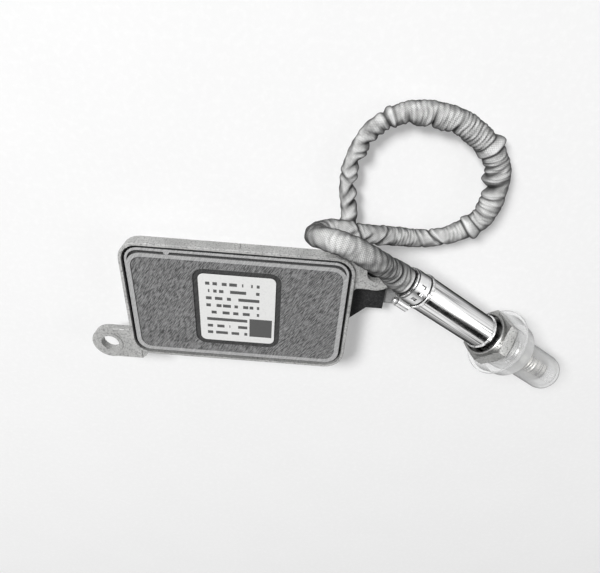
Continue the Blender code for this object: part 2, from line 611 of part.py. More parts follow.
def make_connector():
    """Black shroud plugged into the tub's side, its grey coding collar and the blades."""
    middle = SHROUD_START + SHROUD_LENGTH / 2
    shroud = block("connector_housing", (SHROUD_LENGTH, SHROUD_WIDTH, SHROUD_HEIGHT),
                   (middle, SHROUD_PLACE), SHROUD_LIFT, CONNECTOR_PLASTIC)
    gusset = gusset_shape()
    combine(shroud, gusset, "UNION")
    plug = block("connector_plug", (PLUG_LENGTH + TUB_WALL, PLUG_WIDTH, PLUG_HEIGHT),
                 (SHROUD_START - PLUG_LENGTH / 2 + TUB_WALL / 2, SHROUD_PLACE),
                 PIN_MIDDLE - PLUG_HEIGHT / 2)
    combine(shroud, plug, "UNION")
    mouth_start = SHROUD_START + SHROUD_BACK
    mouth = block("shroud_mouth", (SHROUD_LENGTH, SHROUD_WIDTH - 2 * SHROUD_WALL,
                                   SHROUD_HEIGHT - 2 * SHROUD_WALL),
                  (mouth_start + SHROUD_LENGTH / 2, SHROUD_PLACE), SHROUD_LIFT + SHROUD_WALL)
    combine(shroud, mouth)
    pin_places = [SHROUD_PLACE + (i - (PIN_COUNT - 1) / 2) * PIN_PITCH for i in range(PIN_COUNT)]
    slots = [block(f"pin_slot_{i}", (4 * PLUG_LENGTH, PIN_WIDTH + 2 * FIT_GAP,
                                     PIN_THICKNESS + 2 * FIT_GAP),
                   (SHROUD_START, y), PIN_LOW - FIT_GAP) for i, y in enumerate(pin_places)]
    combine(shroud, group("pin_slots", slots))
    collar_size = (COLLAR_REACH - mouth_start - FIT_GAP, SHROUD_WIDTH - 2 * (SHROUD_WALL + FIT_GAP),
                   SHROUD_HEIGHT - 2 * (SHROUD_WALL + FIT_GAP))
    collar = chamfered_bar("connector_collar", collar_size, mouth_start + FIT_GAP,
                           SHROUD_LIFT + SHROUD_WALL + FIT_GAP, COLLAR_PLASTIC)
    inside = block("collar_bore", (2 * collar_size[0], collar_size[1] - 4 * COLLAR_WALL,
                                   collar_size[2] - 2 * COLLAR_WALL),
                   (COLLAR_REACH - collar_size[0] / 2, SHROUD_PLACE),
                   SHROUD_LIFT + SHROUD_WALL + FIT_GAP + COLLAR_WALL)
    combine(collar, inside)
    for number, y in enumerate(pin_places, start=1):
        block(f"connector_pin_{number}", (PIN_TIP - PIN_ROOT, PIN_WIDTH, PIN_THICKNESS),
              ((PIN_TIP + PIN_ROOT) / 2, y), PIN_LOW, TINNED_BRASS)


def gusset_shape():
    """Slanted web between the tub's flank and the shroud, seen from the lid as a triangle."""
    low_edge = SHROUD_PLACE - SHROUD_WIDTH / 2
    start = SHROUD_START
    corners = [(start, low_edge + SHROUD_WALL), (start, low_edge - GUSSET_DROP),
               (start + SHROUD_WALL, low_edge - GUSSET_DROP),
               (start + GUSSET_LENGTH, low_edge), (start + GUSSET_LENGTH, low_edge + SHROUD_WALL)]
    return prism("gusset", corners, SHROUD_LIFT, SHROUD_LIFT + SHROUD_HEIGHT)


def chamfered_bar(name, size, start, low, finish):
    """A bar along X from start, with its four long edges chamfered."""
    bm = bmesh.new()
    bmesh.ops.create_cube(bm, size=1.0)
    bmesh.ops.scale(bm, vec=size, verts=bm.verts)
    long_edges = [e for e in bm.edges if abs(e.verts[0].co.x - e.verts[1].co.x) > size[0] / 2]
    bmesh.ops.bevel(bm, geom=long_edges, offset=COLLAR_CHAMFER, segments=1, profile=0.5,
                    affect="EDGES", material=-1)
    bmesh.ops.translate(bm, vec=(start + size[0] / 2, SHROUD_PLACE, low + size[2] / 2), verts=bm.verts)
    mesh = bpy.data.meshes.new(name)
    bm.to_mesh(mesh)
    bm.free()
    return add(name, mesh, finish)


def make_cable_entry():
    """Rubber grommet in the turret and the wires that pass through it."""
    axis = frame("entry_axis", entry_matrix())
    flange_low = ENTRY_REACH + FIT_GAP
    neck = ENTRY_BORE_RADIUS - FIT_GAP
    end = flange_low + GROMMET_FLANGE
    profile = [(GROMMET_BORE_RADIUS, end), (GROMMET_FLANGE_RADIUS - GROMMET_FLANGE / 2, end),
               (GROMMET_FLANGE_RADIUS, end - GROMMET_FLANGE / 2), (GROMMET_FLANGE_RADIUS, flange_low),
               (neck, flange_low), (neck, CAVITY_HEIGHT / 2 + FIT_GAP),
               (GROMMET_BORE_RADIUS, CAVITY_HEIGHT / 2 + FIT_GAP)]
    turned("cable_grommet", profile, RUBBER, 32, axis)
    rod("sensor_wires", WIRES_RADIUS, (0.0, 0.0), end - GROMMET_FLANGE - WIRES_INSIDE, end,
        WIRE_COATING, 16, axis)


def smooth_route(points, first, last):
    """A cubic spline through the points, with set directions at its two ends."""
    knots = np.concatenate([[0.0], np.cumsum(np.linalg.norm(np.diff(points, axis=0), axis=1))])
    gaps = np.diff(knots)
    count = len(points)
    system = np.zeros((count, count))
    target = np.zeros((count, 3))
    slopes = np.diff(points, axis=0) / gaps[:, None]
    system[0, :2] = 2 * gaps[0], gaps[0]
    system[-1, -2:] = gaps[-1], 2 * gaps[-1]
    target[0] = 6 * (slopes[0] - first)
    target[-1] = 6 * (last - slopes[-1])
    for i in range(1, count - 1):
        system[i, i - 1:i + 2] = gaps[i - 1], 2 * (gaps[i - 1] + gaps[i]), gaps[i]
        target[i] = 6 * (slopes[i] - slopes[i - 1])
    bends = np.linalg.solve(system, target)

    def at(place):
        i = min(max(int(np.searchsorted(knots, place)) - 1, 0), count - 2)
        after = knots[i + 1] - place
        before = place - knots[i]
        curved = (bends[i] * after ** 3 + bends[i + 1] * before ** 3) / (6 * gaps[i])
        from_start = (points[i] / gaps[i] - bends[i] * gaps[i] / 6) * after
        from_end = (points[i + 1] / gaps[i] - bends[i + 1] * gaps[i] / 6) * before
        return curved + from_start + from_end

    return at, knots[-1]


def make_cable():
    """Textile sleeve over the cable, from the grommet to the probe."""
    direction = probe_matrix().to_3x3() @ Vector((0.0, 0.0, 1.0))
    end = Vector(PROBE_REAR) - direction * FIT_GAP
    start = np.array(ROUTE_CORNER)
    points = np.array([start + np.array(p) * MM for p in ROUTE_MM] + [np.array(end)])
    at, length = smooth_route(points, np.array([0.0, 1.0, 0.0]), np.array(direction))
    count = int(round(length / SLEEVE_STEP)) + 1
    places = [0.0, *np.linspace(SLEEVE_LEAD, length - SLEEVE_LEAD, count), length]
    curve = bpy.data.curves.new("cable_sleeve", "CURVE")
    curve.dimensions = "3D"
    curve.bevel_depth = SLEEVE_RADIUS
    curve.bevel_resolution = 3
    curve.use_fill_caps = True
    spline = curve.splines.new("POLY")
    spline.points.add(len(places) - 1)
    for point, place in zip(spline.points, places):
        point.co = (*at(place), 1.0)
    spline.use_smooth = True
    made = bpy.data.objects.new("cable_sleeve", curve)
    PARTS.objects.link(made)
    curve.materials.append(TEXTILE)


def probe_matrix():
    """The probe's frame: +Z along the probe, +X level, at the middle of its cable end."""
    level = math.cos(PROBE_DROP)
    ahead = Vector((math.cos(PROBE_HEADING) * level, math.sin(PROBE_HEADING) * level,
                    -math.sin(PROBE_DROP)))
    side = ahead.cross(Vector((0.0, 0.0, 1.0))).normalized()
    up = side.cross(ahead)
    turn = Matrix((side, -up, ahead)).transposed().to_4x4()
    return Matrix.Translation(PROBE_REAR) @ turn


BODY_NECK_END = NUT_START + NUT_HEX + NUT_THREAD + FIT_GAP
SEAT_END = BODY_NECK_END + SEAT_LENGTH
BODY_FRONT = SEAT_END + SEAT_CONE
OUTER_SHELL_RADIUS = CAP_TUBE_RADIUS - CAP_TUBE_WALL - 2 * FIT_GAP
OUTER_SHELL_START = BODY_FRONT + FIT_GAP
SPIGOT_RADIUS = OUTER_SHELL_RADIUS - SHELL_WALL - FIT_GAP
CAP_START = NUT_START + NUT_HEX + CAP_GAP


def make_tube(axis):
    """Steel sleeve: a crimped neck with a rolled rim, a bead, the barrel and a lip at its front."""
    inner = TUBE_RADIUS - TUBE_WALL
    neck_inner = TUBE_NECK_RADIUS - TUBE_WALL
    rim = TUBE_NECK_RADIUS + RIM_STANDOUT
    bead_end = BEAD_START + BEAD_LENGTH
    soft = BEAD_RADIUS - TUBE_RADIUS
    lip_start = TUBE_LENGTH - LIP_LENGTH
    profile = [(inner, TUBE_LENGTH), (LIP_RADIUS - soft, TUBE_LENGTH),
               (LIP_RADIUS, TUBE_LENGTH - soft), (LIP_RADIUS, lip_start + soft),
               (TUBE_RADIUS, lip_start), (TUBE_RADIUS, bead_end), (BEAD_RADIUS, bead_end - soft),
               (BEAD_RADIUS, BEAD_START + soft), (TUBE_RADIUS, BEAD_START),
               (TUBE_NECK_RADIUS, BEAD_START), (TUBE_NECK_RADIUS, RIM_LENGTH), (rim, RIM_LENGTH),
               (rim, 0.0), (neck_inner, 0.0), (neck_inner, bead_end), (inner, bead_end + TUBE_WALL)]
    turned("probe_sleeve", profile, TUBE_STEEL, ROUND_STEPS, axis)
    plug = neck_inner - FIT_GAP
    turned("cable_seal", [(0.0, GROMMET_LENGTH), (plug, GROMMET_LENGTH), (plug, 0.0), (0.0, 0.0)],
           RUBBER, 32, axis)


def make_clamp(axis):
    """Clamp band with its windows, the rolled ear at its side and the pin in that ear."""
    inner = TUBE_NECK_RADIUS + FIT_GAP
    outer = inner + BAND_WALL
    profile = [(inner, BAND_END), (outer, BAND_END), (outer, BAND_START), (inner, BAND_START)]
    band = turned("clamp_band", profile, BAND_STEEL, ROUND_STEPS, axis)
    reach = inner + BARREL_RADIUS + BAND_WALL / 2
    place = (reach * math.cos(BARREL_ANGLE), reach * math.sin(BARREL_ANGLE))
    barrel_end = BEAD_START - FIT_GAP
    barrel = rod("ear_barrel", BARREL_RADIUS, place, BARREL_START + FIT_GAP, barrel_end, parent=axis)
    combine(band, barrel, "UNION")
    keep_out = rod("band_inside", inner, (0.0, 0.0), 0.0, TUBE_LENGTH, steps=ROUND_STEPS, parent=axis)
    combine(band, keep_out)
    bore = rod("barrel_bore", BARREL_BORE, place, 0.0, BEAD_START, parent=axis)
    combine(band, bore)
    for number, degrees in enumerate(BAND_WINDOW_ANGLES, start=1):
        window = block(f"band_window_{number}", (BAND_WINDOW_WIDTH, outer, BAND_WINDOW_LENGTH),
                       (0.0, -outer), BAND_START + (BAND_LENGTH - BAND_WINDOW_LENGTH) / 2,
                       parent=axis)
        window.rotation_euler = (0.0, 0.0, math.radians(degrees))
        combine(band, window)
    head = PIN_HEAD_RADIUS
    dome = [(0.0, barrel_end), (PIN_SHANK_RADIUS, barrel_end), (PIN_SHANK_RADIUS, BARREL_START)]
    dome += [(head * math.cos(a), BARREL_START - head * math.sin(a))
             for a in np.radians((0.0, 20.0, 40.0, 60.0, 80.0))]
    dome.append((0.0, BARREL_START - head))
    spot = frame("pin_axis", Matrix.Translation((*place, 0.0)), axis)
    turned("clamp_pin", dome, SCREW_STEEL, SMALL_ROUND_STEPS, spot)


def make_body(axis):
    """Turned body: a root in the sleeve, a neck through the nut, the seat and a spigot."""
    root = TUBE_RADIUS - TUBE_WALL - FIT_GAP
    front = BODY_FRONT + SPIGOT_LENGTH
    profile = [(BODY_BORE_RADIUS, front), (SPIGOT_RADIUS, front), (SPIGOT_RADIUS, BODY_FRONT),
               (OUTER_SHELL_RADIUS, BODY_FRONT), (SEAT_RADIUS, SEAT_END), (SEAT_RADIUS, BODY_NECK_END),
               (BODY_NECK_RADIUS, BODY_NECK_END), (BODY_NECK_RADIUS, TUBE_LENGTH + FIT_GAP),
               (root, TUBE_LENGTH + FIT_GAP), (root, BODY_START), (BODY_BORE_RADIUS, BODY_START)]
    turned("probe_body", profile, TUBE_STEEL, ROUND_STEPS, axis)


def make_ceramics(axis):
    """Sensing strip and the ceramic and powder rings that hold it."""
    slot = (STRIP_WIDTH + 2 * FIT_GAP, STRIP_THICKNESS + 2 * FIT_GAP, STRIP_LENGTH + BODY_START)
    strip_slot = block("strip_slot", slot, (0.0, 0.0), STRIP_START - FIT_GAP, parent=axis)
    radius = BODY_BORE_RADIUS - FIT_GAP
    powder_start = REAR_CERAMIC_START + REAR_CERAMIC + FIT_GAP
    front_start = powder_start + POWDER + FIT_GAP
    rings = (("contact_holder", TUBE_RADIUS - TUBE_WALL - 2 * FIT_GAP, HOLDER_START, HOLDER_LENGTH,
              CERAMIC),
             ("rear_ceramic", radius, REAR_CERAMIC_START, REAR_CERAMIC, CERAMIC),
             ("powder_seal", radius, powder_start, POWDER, POWDER_FILL),
             ("front_ceramic", radius, front_start, FRONT_CERAMIC, CERAMIC))
    for name, ring_radius, start, length, finish in rings:
        ring = rod(name, ring_radius, (0.0, 0.0), start, start + length, finish, 32, axis)
        combine(ring, strip_slot)
    block("sensor_element", (STRIP_WIDTH, STRIP_THICKNESS, STRIP_LENGTH), (0.0, 0.0), STRIP_START,
          CERAMIC, parent=axis)


def make_shells(axis):
    """Inner and outer protection tubes, closed at the tip but for the gas holes."""
    inner_start = BODY_FRONT + FIT_GAP
    radius = BODY_BORE_RADIUS - FIT_GAP
    end = inner_start + INNER_SHELL_LENGTH
    profile = [(GAS_HOLE_RADIUS, end), (radius - SHELL_WALL, end), (radius, end - SHELL_WALL),
               (radius, inner_start), (radius - SHELL_WALL, inner_start),
               (radius - SHELL_WALL, end - SHELL_WALL), (GAS_HOLE_RADIUS, end - SHELL_WALL)]
    turned("inner_protection_tube", profile, SHELL_STEEL, 32, axis)
    wide = OUTER_SHELL_RADIUS
    bore = wide - SHELL_WALL
    end = OUTER_SHELL_START + OUTER_SHELL_LENGTH
    profile = [(GAS_HOLE_RADIUS, end), (wide - 2 * SHELL_WALL, end), (wide, end - 2 * SHELL_WALL)]
    for i in reversed(range(SHELL_RING_COUNT)):
        start = OUTER_SHELL_START + SHELL_RING_START + i * SHELL_RING_PITCH
        profile += [(wide, start + SHELL_RING_PITCH * 0.5),
                    (wide - SHELL_RING_HEIGHT, start + SHELL_RING_PITCH * 0.35),
                    (wide - SHELL_RING_HEIGHT, start + SHELL_RING_PITCH * 0.15), (wide, start)]
    profile += [(wide, OUTER_SHELL_START), (bore, OUTER_SHELL_START), (bore, end - 2 * SHELL_WALL),
                (GAS_HOLE_RADIUS, end - SHELL_WALL)]
    shell = turned("outer_protection_tube", profile, SHELL_STEEL, 32, axis)
    height = (end - 2 * SHELL_WALL + OUTER_SHELL_START + SHELL_RING_START
              + SHELL_RING_COUNT * SHELL_RING_PITCH) / 2
    for number in range(GAS_HOLE_COUNT // 2):
        drill = rod(f"gas_drill_{number}", GAS_HOLE_RADIUS, (0.0, 0.0), -2 * wide, 2 * wide,
                    steps=12, parent=axis)
        drill.location = (0.0, 0.0, height)
        drill.rotation_euler = (math.radians(90.0), 0.0, number * 2 * math.pi / GAS_HOLE_COUNT)
        combine(shell, drill)


def make_nut(axis):
    """Swivel nut: a chamfered hexagon with the threaded barrel in front of it."""
    hex_end = NUT_START + NUT_HEX
    thread_end = hex_end + NUT_THREAD
    corner = NUT_ACROSS / math.sqrt(3.0)
    bm = bmesh.new()
    bmesh.ops.create_cone(bm, cap_ends=True, segments=6, radius1=corner, radius2=corner, depth=NUT_HEX)
    bmesh.ops.rotate(bm, cent=(0.0, 0.0, 0.0), matrix=Matrix.Rotation(NUT_TURN, 3, "Z"), verts=bm.verts)
    bmesh.ops.translate(bm, vec=(0.0, 0.0, NUT_START + NUT_HEX / 2), verts=bm.verts)
    mesh = bpy.data.meshes.new("swivel_nut")
    bm.to_mesh(mesh)
    bm.free()
    nut = add("swivel_nut", mesh, NUT_STEEL, axis)
    blunt = corner - NUT_CHAMFER * 1.7
    envelope = turned("nut_envelope", [(0.0, hex_end + NUT_CHAMFER), (blunt, hex_end),
                                       (corner + NUT_CHAMFER, hex_end - NUT_CHAMFER),
                                       (corner + NUT_CHAMFER, NUT_START + NUT_CHAMFER),
                                       (blunt, NUT_START), (0.0, NUT_START - NUT_CHAMFER)],
                      parent=axis)
    combine(nut, envelope, "INTERSECT")
    barrel = turned("nut_thread", [(0.0, thread_end), (NUT_THREAD_RADIUS - NUT_CHAMFER, thread_end),
                                   (NUT_THREAD_RADIUS, thread_end - NUT_CHAMFER),
                                   (NUT_THREAD_RADIUS, hex_end - NUT_HEX / 2),
                                   (0.0, hex_end - NUT_HEX / 2)], parent=axis)
    combine(nut, barrel, "UNION")
    collar_start = NUT_START - NUT_COLLAR
    collar_end = NUT_START + NUT_CHAMFER
    collar = turned("nut_collar", [(0.0, collar_end), (NUT_COLLAR_RADIUS, collar_end),
                                   (NUT_COLLAR_RADIUS, collar_start + FIT_GAP),
                                   (NUT_COLLAR_RADIUS - FIT_GAP, collar_start), (0.0, collar_start)],
                    parent=axis)
    combine(nut, collar, "UNION")
    bore = BODY_NECK_RADIUS + FIT_GAP
    recess_end = NUT_START + NUT_RECESS
    hollow = turned("nut_hollow", [(0.0, thread_end + NUT_CHAMFER), (bore, thread_end + NUT_CHAMFER),
                                   (bore, recess_end + NUT_CHAMFER), (NUT_RECESS_RADIUS, recess_end),
                                   (NUT_RECESS_RADIUS, collar_start - NUT_CHAMFER),
                                   (0.0, collar_start - NUT_CHAMFER)], parent=axis)
    combine(nut, hollow)


def make_cap(axis):
    """Transport cap: a brim, a flared ring over the thread and a round-ended tube."""
    brim_end = CAP_START + CAP_BRIM
    ring_end = brim_end + CAP_RING
    end = CAP_START + CAP_LENGTH
    inner_end = end - CAP_TUBE_WALL
    thread_bore = NUT_THREAD_RADIUS + FIT_GAP
    tube_bore = CAP_TUBE_RADIUS - CAP_TUBE_WALL
    arc = np.radians((90.0, 67.5, 45.0, 22.5, 0.0))
    outer_round = [(CAP_TUBE_RADIUS - CAP_END_ROUND * (1 - math.cos(a)),
                    end - CAP_END_ROUND * (1 - math.sin(a))) for a in arc]
    inner_radius = CAP_END_ROUND - CAP_TUBE_WALL
    inner_round = [(tube_bore - inner_radius * (1 - math.cos(a)),
                    inner_end - inner_radius * (1 - math.sin(a))) for a in reversed(arc)]
    profile = [(0.0, end), *outer_round, (CAP_TUBE_RADIUS, ring_end), (CAP_RING_RADIUS, ring_end),
               (CAP_RING_RADIUS + CAP_RING_FLARE, brim_end), (CAP_BRIM_RADIUS, brim_end),
               (CAP_BRIM_RADIUS, CAP_START),
               (thread_bore, CAP_START), (thread_bore, ring_end - CAP_FRONT_WALL),
               (tube_bore, ring_end - CAP_FRONT_WALL), *inner_round, (0.0, inner_end)]
    turned("transport_cap", profile, CAP_PLASTIC, ROUND_STEPS, axis)


def make_probe():
    """Everything along the probe's axis; the nut and the cap have frames of their own."""
    axis = frame("probe_axis", probe_matrix())
    make_tube(axis)
    make_clamp(axis)
    make_body(axis)
    make_ceramics(axis)
    make_shells(axis)
    nut_axis = frame("nut_axis", Matrix.Identity(4), axis)
    make_nut(nut_axis)
    make_cap(frame("cap_axis", Matrix.Identity(4), nut_axis))


make_base()
make_lid()
make_board()
make_connector()
make_cable_entry()
make_cable()
make_probe()
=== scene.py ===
"""Nitrogen oxide sensor: the looks of a control box, its sleeved cable and an exhaust probe.

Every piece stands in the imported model's own frame: metres, +Z up, origin at the middle of
the control box's flat back. Stations along the probe are counted from its cable end.
"""
import json
import math

import bmesh
import bpy
import numpy as np
from bpy.props import FloatProperty, FloatVectorProperty, IntProperty, PointerProperty
from mathutils import Matrix, Vector


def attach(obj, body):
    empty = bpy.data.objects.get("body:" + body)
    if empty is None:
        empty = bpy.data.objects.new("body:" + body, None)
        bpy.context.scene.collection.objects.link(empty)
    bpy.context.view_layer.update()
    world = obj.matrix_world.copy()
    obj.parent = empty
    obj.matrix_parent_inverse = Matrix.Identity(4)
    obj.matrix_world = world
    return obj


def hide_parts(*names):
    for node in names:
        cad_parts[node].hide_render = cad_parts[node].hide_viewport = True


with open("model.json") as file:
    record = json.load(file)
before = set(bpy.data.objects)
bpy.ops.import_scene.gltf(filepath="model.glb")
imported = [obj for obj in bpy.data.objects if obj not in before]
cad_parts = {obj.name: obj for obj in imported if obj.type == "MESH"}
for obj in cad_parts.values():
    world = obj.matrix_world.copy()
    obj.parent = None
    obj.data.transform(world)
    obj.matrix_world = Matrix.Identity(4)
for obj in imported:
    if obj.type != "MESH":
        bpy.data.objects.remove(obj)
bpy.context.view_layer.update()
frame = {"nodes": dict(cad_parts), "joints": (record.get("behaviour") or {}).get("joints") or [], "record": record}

bl_info = {
    "name": "Nitrogen oxide sensor",
    "version": (1, 0, 0),
    "blender": (4, 5, 0),
    "location": "View3D > Sidebar > Sensor",
    "description": "Builds the finished looks of a nitrogen oxide sensor around its packed frame",
    "category": "Add Mesh",
}

MM = 0.001

# Cable route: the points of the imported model's cable, from the grommet to the clamp
ROUTE = (
    (0.0430, 0.0351, 0.0062), (0.0453, 0.0434, 0.0049), (0.0448, 0.0496, 0.0044),
    (0.0436, 0.0565, 0.0043), (0.0442, 0.0681, 0.0043), (0.0480, 0.0782, 0.0043),
    (0.0556, 0.0853, 0.0043), (0.0643, 0.0884, 0.0045), (0.0737, 0.0883, 0.0047),
    (0.0837, 0.0855, 0.0047), (0.0935, 0.0792, 0.0048), (0.1001, 0.0704, 0.0048),
    (0.1024, 0.0609, 0.0048), (0.1010, 0.0516, 0.0047), (0.0951, 0.0439, 0.0046),
    (0.0853, 0.0391, 0.0045), (0.0744, 0.0380, 0.0054), (0.0630, 0.0395, 0.0087),
    (0.0521, 0.0414, 0.0123), (0.0443, 0.0435, 0.0142), (0.0366, 0.0438, 0.0160),
    (0.0321, 0.0450, 0.0230), (0.0353, 0.0482, 0.0320), (0.0444, 0.0473, 0.0355),
    (0.0533, 0.0417, 0.0328), (0.0616, 0.0339, 0.0260),
)
LOOP_CENTRE = Vector((0.0755, 0.0626, 0.0046))
CABLE_DIAMETER = 0.0090
CABLE_END_GAP = 0.3 * MM
SPLINE_STEPS = 4001

# Probe axis, as the nut's joint gives it
TURN = next(j for j in frame["joints"] if j["name"] == "nut_turn")
PROBE_REAR = Vector(TURN["pos_m"])
PROBE_AHEAD = Vector(TURN["axis"]).normalized()
PROBE_SIDE = PROBE_AHEAD.cross(Vector((0.0, 0.0, 1.0))).normalized()
PROBE_UP = PROBE_SIDE.cross(PROBE_AHEAD)

# Swivel nut's thread: stations along the probe, radii, and the half widths of its ridge
THREAD_START = 55.6 * MM
THREAD_END = 60.3 * MM
THREAD_CORE = 9.25 * MM
THREAD_CREST = 10.0 * MM
THREAD_PITCH = 1.5 * MM
THREAD_FOOT = 0.62 * MM
THREAD_TOP = 0.1 * MM
THREAD_SINK = 0.1 * MM
THREAD_SHANK = (9.0 * MM, 10.1 * MM)
THREAD_RELIEF = 0.2 * MM
NUT_EDGE = 0.4 * MM

# Lid heights: above the first the raised lip and border, painted lighter as a highlight; under the second the
# channel, painted dark as shade
LID_RAISED = 14.45 * MM
LID_SUNK = 14.05 * MM
LID_BLEND = 0.1 * MM

# Label print: rows of plain bars and one plain square with a clear space round it, as places
# from the label's middle and half sizes
LABEL_MIDDLE = (0.0, -0.9 * MM)
ROW_HEIGHT = 3.9 * MM
PRINT_MIDDLE = (-2.0 * MM, 0.0)
PRINT_HALF = (12.0 * MM, 15.6 * MM)
SQUARE_MIDDLE = (10.8 * MM, -9.6 * MM)
SQUARE_HALF = (5.2 * MM, 5.2 * MM)
CLEAR_HALF = (6.2 * MM, 5.8 * MM)

# Dark card: the station and the turn of the sleeve's surface that mirror it, its distance
# and its size
CARD_STATION = 28.0 * MM
CARD_TURN = math.radians(15.0)
CARD_AWAY = 0.6
CARD_SIZE = (0.6, 0.30)

# Stage: lamp places and sizes, the point that they face, and the floor
KEY_PLACE = (-1.0, 1.15, 1.5)
KEY_SIZE = 0.7
FILL_PLACE = (0.93, 0.09, 0.56)
FILL_SIZE = 0.45
LAMP_AIM = (0.03, 0.03, 0.01)
FLOOR_HALF = 3.0
FLOOR_DROP = 0.1 * MM
FLOOR_GLOW = 0.29

# Camera: place and the world directions of its right, up and back
CAMERA_PLACE = (27.54 * MM, 125.67 * MM, 182.0 * MM)
CAMERA_RIGHT = (0.997013, 0.0646134, -0.0423188)
CAMERA_UP = (-0.0772376, 0.831598, -0.5499811)
CAMERA_BACK = (-0.000344, 0.5516067, 0.8341043)
CAMERA_LENS = 27.66


class SensorCable(bpy.types.PropertyGroup):
    """Sizes and colours of the textile-sleeved cable."""

    rings: IntProperty(name="Rings", description="Faces along the cable", default=1150)
    around: IntProperty(name="Around", description="Faces round the cable", default=40)
    crinkle: FloatProperty(name="Crinkle", description="Depth of the sleeve's folds", default=1.0)
    thread: FloatProperty(name="Thread", description="Width of one braided thread",
                          default=0.45 * MM, unit="LENGTH")
    colour: FloatVectorProperty(name="Sleeve", description="Colour of the textile sleeve",
                                size=4, subtype="COLOR", default=(0.92, 0.92, 0.91, 1.0))
    dark: FloatVectorProperty(name="Gaps", description="Colour between the threads",
                              size=4, subtype="COLOR", default=(0.16, 0.16, 0.16, 1.0))


class SensorBox(bpy.types.PropertyGroup):
    """Colours and edge sizes of the control box, its lid, label and connector."""

    edge: FloatProperty(name="Cast edge", description="Rounding of the cast edges",
                        default=0.35 * MM, unit="LENGTH")
    cast: FloatVectorProperty(name="Cast metal", description="Colour of the cast base",
                              size=4, subtype="COLOR", default=(0.53, 0.53, 0.52, 1.0))
    lid: FloatVectorProperty(name="Lid", description="Colour of the lid",
                             size=4, subtype="COLOR", default=(0.23, 0.23, 0.232, 1.0))
    label: FloatVectorProperty(name="Label", description="Colour of the label film",
                               size=4, subtype="COLOR", default=(0.80, 0.80, 0.79, 1.0))
    shell: FloatVectorProperty(name="Connector", description="Colour of the connector housing",
                               size=4, subtype="COLOR", default=(0.012, 0.012, 0.013, 1.0))


class SensorProbe(bpy.types.PropertyGroup):
    """Colours of the probe's metal and of its transport cap."""

    steel: FloatVectorProperty(name="Steel", description="Colour of the turned steel",
                               size=4, subtype="COLOR", default=(0.84, 0.84, 0.84, 1.0))
    nut: FloatVectorProperty(name="Nut", description="Colour of the nut's steel",
                             size=4, subtype="COLOR", default=(0.42, 0.42, 0.41, 1.0))
    cap: FloatVectorProperty(name="Cap", description="Colour of the transport cap",
                             size=4, subtype="COLOR", default=(0.94, 0.945, 0.945, 1.0))
    thread_steps: IntProperty(name="Thread steps", description="Steps in one thread turn",
                              default=48)


class SensorStage(bpy.types.PropertyGroup):
    """Floor, light and surroundings."""

    floor: FloatVectorProperty(name="Floor", description="Colour of the floor",
                               size=4, subtype="COLOR", default=(0.63, 0.63, 0.63, 1.0))
    key: FloatProperty(name="Key light", description="Power of the large lamp", default=53.0)
    fill: FloatProperty(name="Fill light", description="Power of the small lamp", default=1.2)
    sky: FloatProperty(name="Sky", description="Strength of the light from all round",
                       default=0.14)


def put(tree, kind, sockets=None, **settings):
    """Add a shader node, set its values, and link the sockets that another node feeds."""
    made = tree.nodes.new(kind)
    for name, value in settings.items():
        setattr(made, name, value)
    for key, value in (sockets or {}).items():
        if isinstance(value, bpy.types.NodeSocket):
            tree.links.new(value, made.inputs[key])
        else:
            made.inputs[key].default_value = value
    return made


def calc(tree, operation, first, second=0.0, third=0.0, clamp=False):
    """A Math node's result."""
    made = put(tree, "ShaderNodeMath", {0: first, 1: second, 2: third},
               operation=operation, use_clamp=clamp)
    return made.outputs[0]


def spread(tree, value, low, high, to_low=0.0, to_high=1.0):
    """A value brought from one range to another, and kept inside it."""
    made = put(tree, "ShaderNodeMapRange", {"Value": value, "From Min": low, "From Max": high,
                                            "To Min": to_low, "To Max": to_high})
    return made.outputs["Result"]


def tint(tree, factor, first, second):
    """Two colours mixed by a factor."""
    made = put(tree, "ShaderNodeMix", {0: factor, 6: first, 7: second}, data_type="RGBA")
    return made.outputs[2]


def seen_rays(tree):
    """One on the rays by which the stage itself is seen, and nothing on those that light."""
    light = put(tree, "ShaderNodeLightPath").outputs
    mirrored = calc(tree, "MAXIMUM", light["Is Glossy Ray"], light["Is Transmission Ray"])
    return calc(tree, "MAXIMUM", light["Is Camera Ray"], mirrored)


def new_group(name, inputs, outputs):
    """An empty shader node group with its sockets, and its inner ends."""
    tree = bpy.data.node_groups.new(name, "ShaderNodeTree")
    for label, kind, value in inputs:
        socket = tree.interface.new_socket(label, in_out="INPUT", socket_type="NodeSocket" + kind)
        if value is not None:
            socket.default_value = value
    for label, kind in outputs:
        tree.interface.new_socket(label, in_out="OUTPUT", socket_type="NodeSocket" + kind)
    return tree, tree.nodes.new("NodeGroupInput").outputs, tree.nodes.new("NodeGroupOutput").inputs


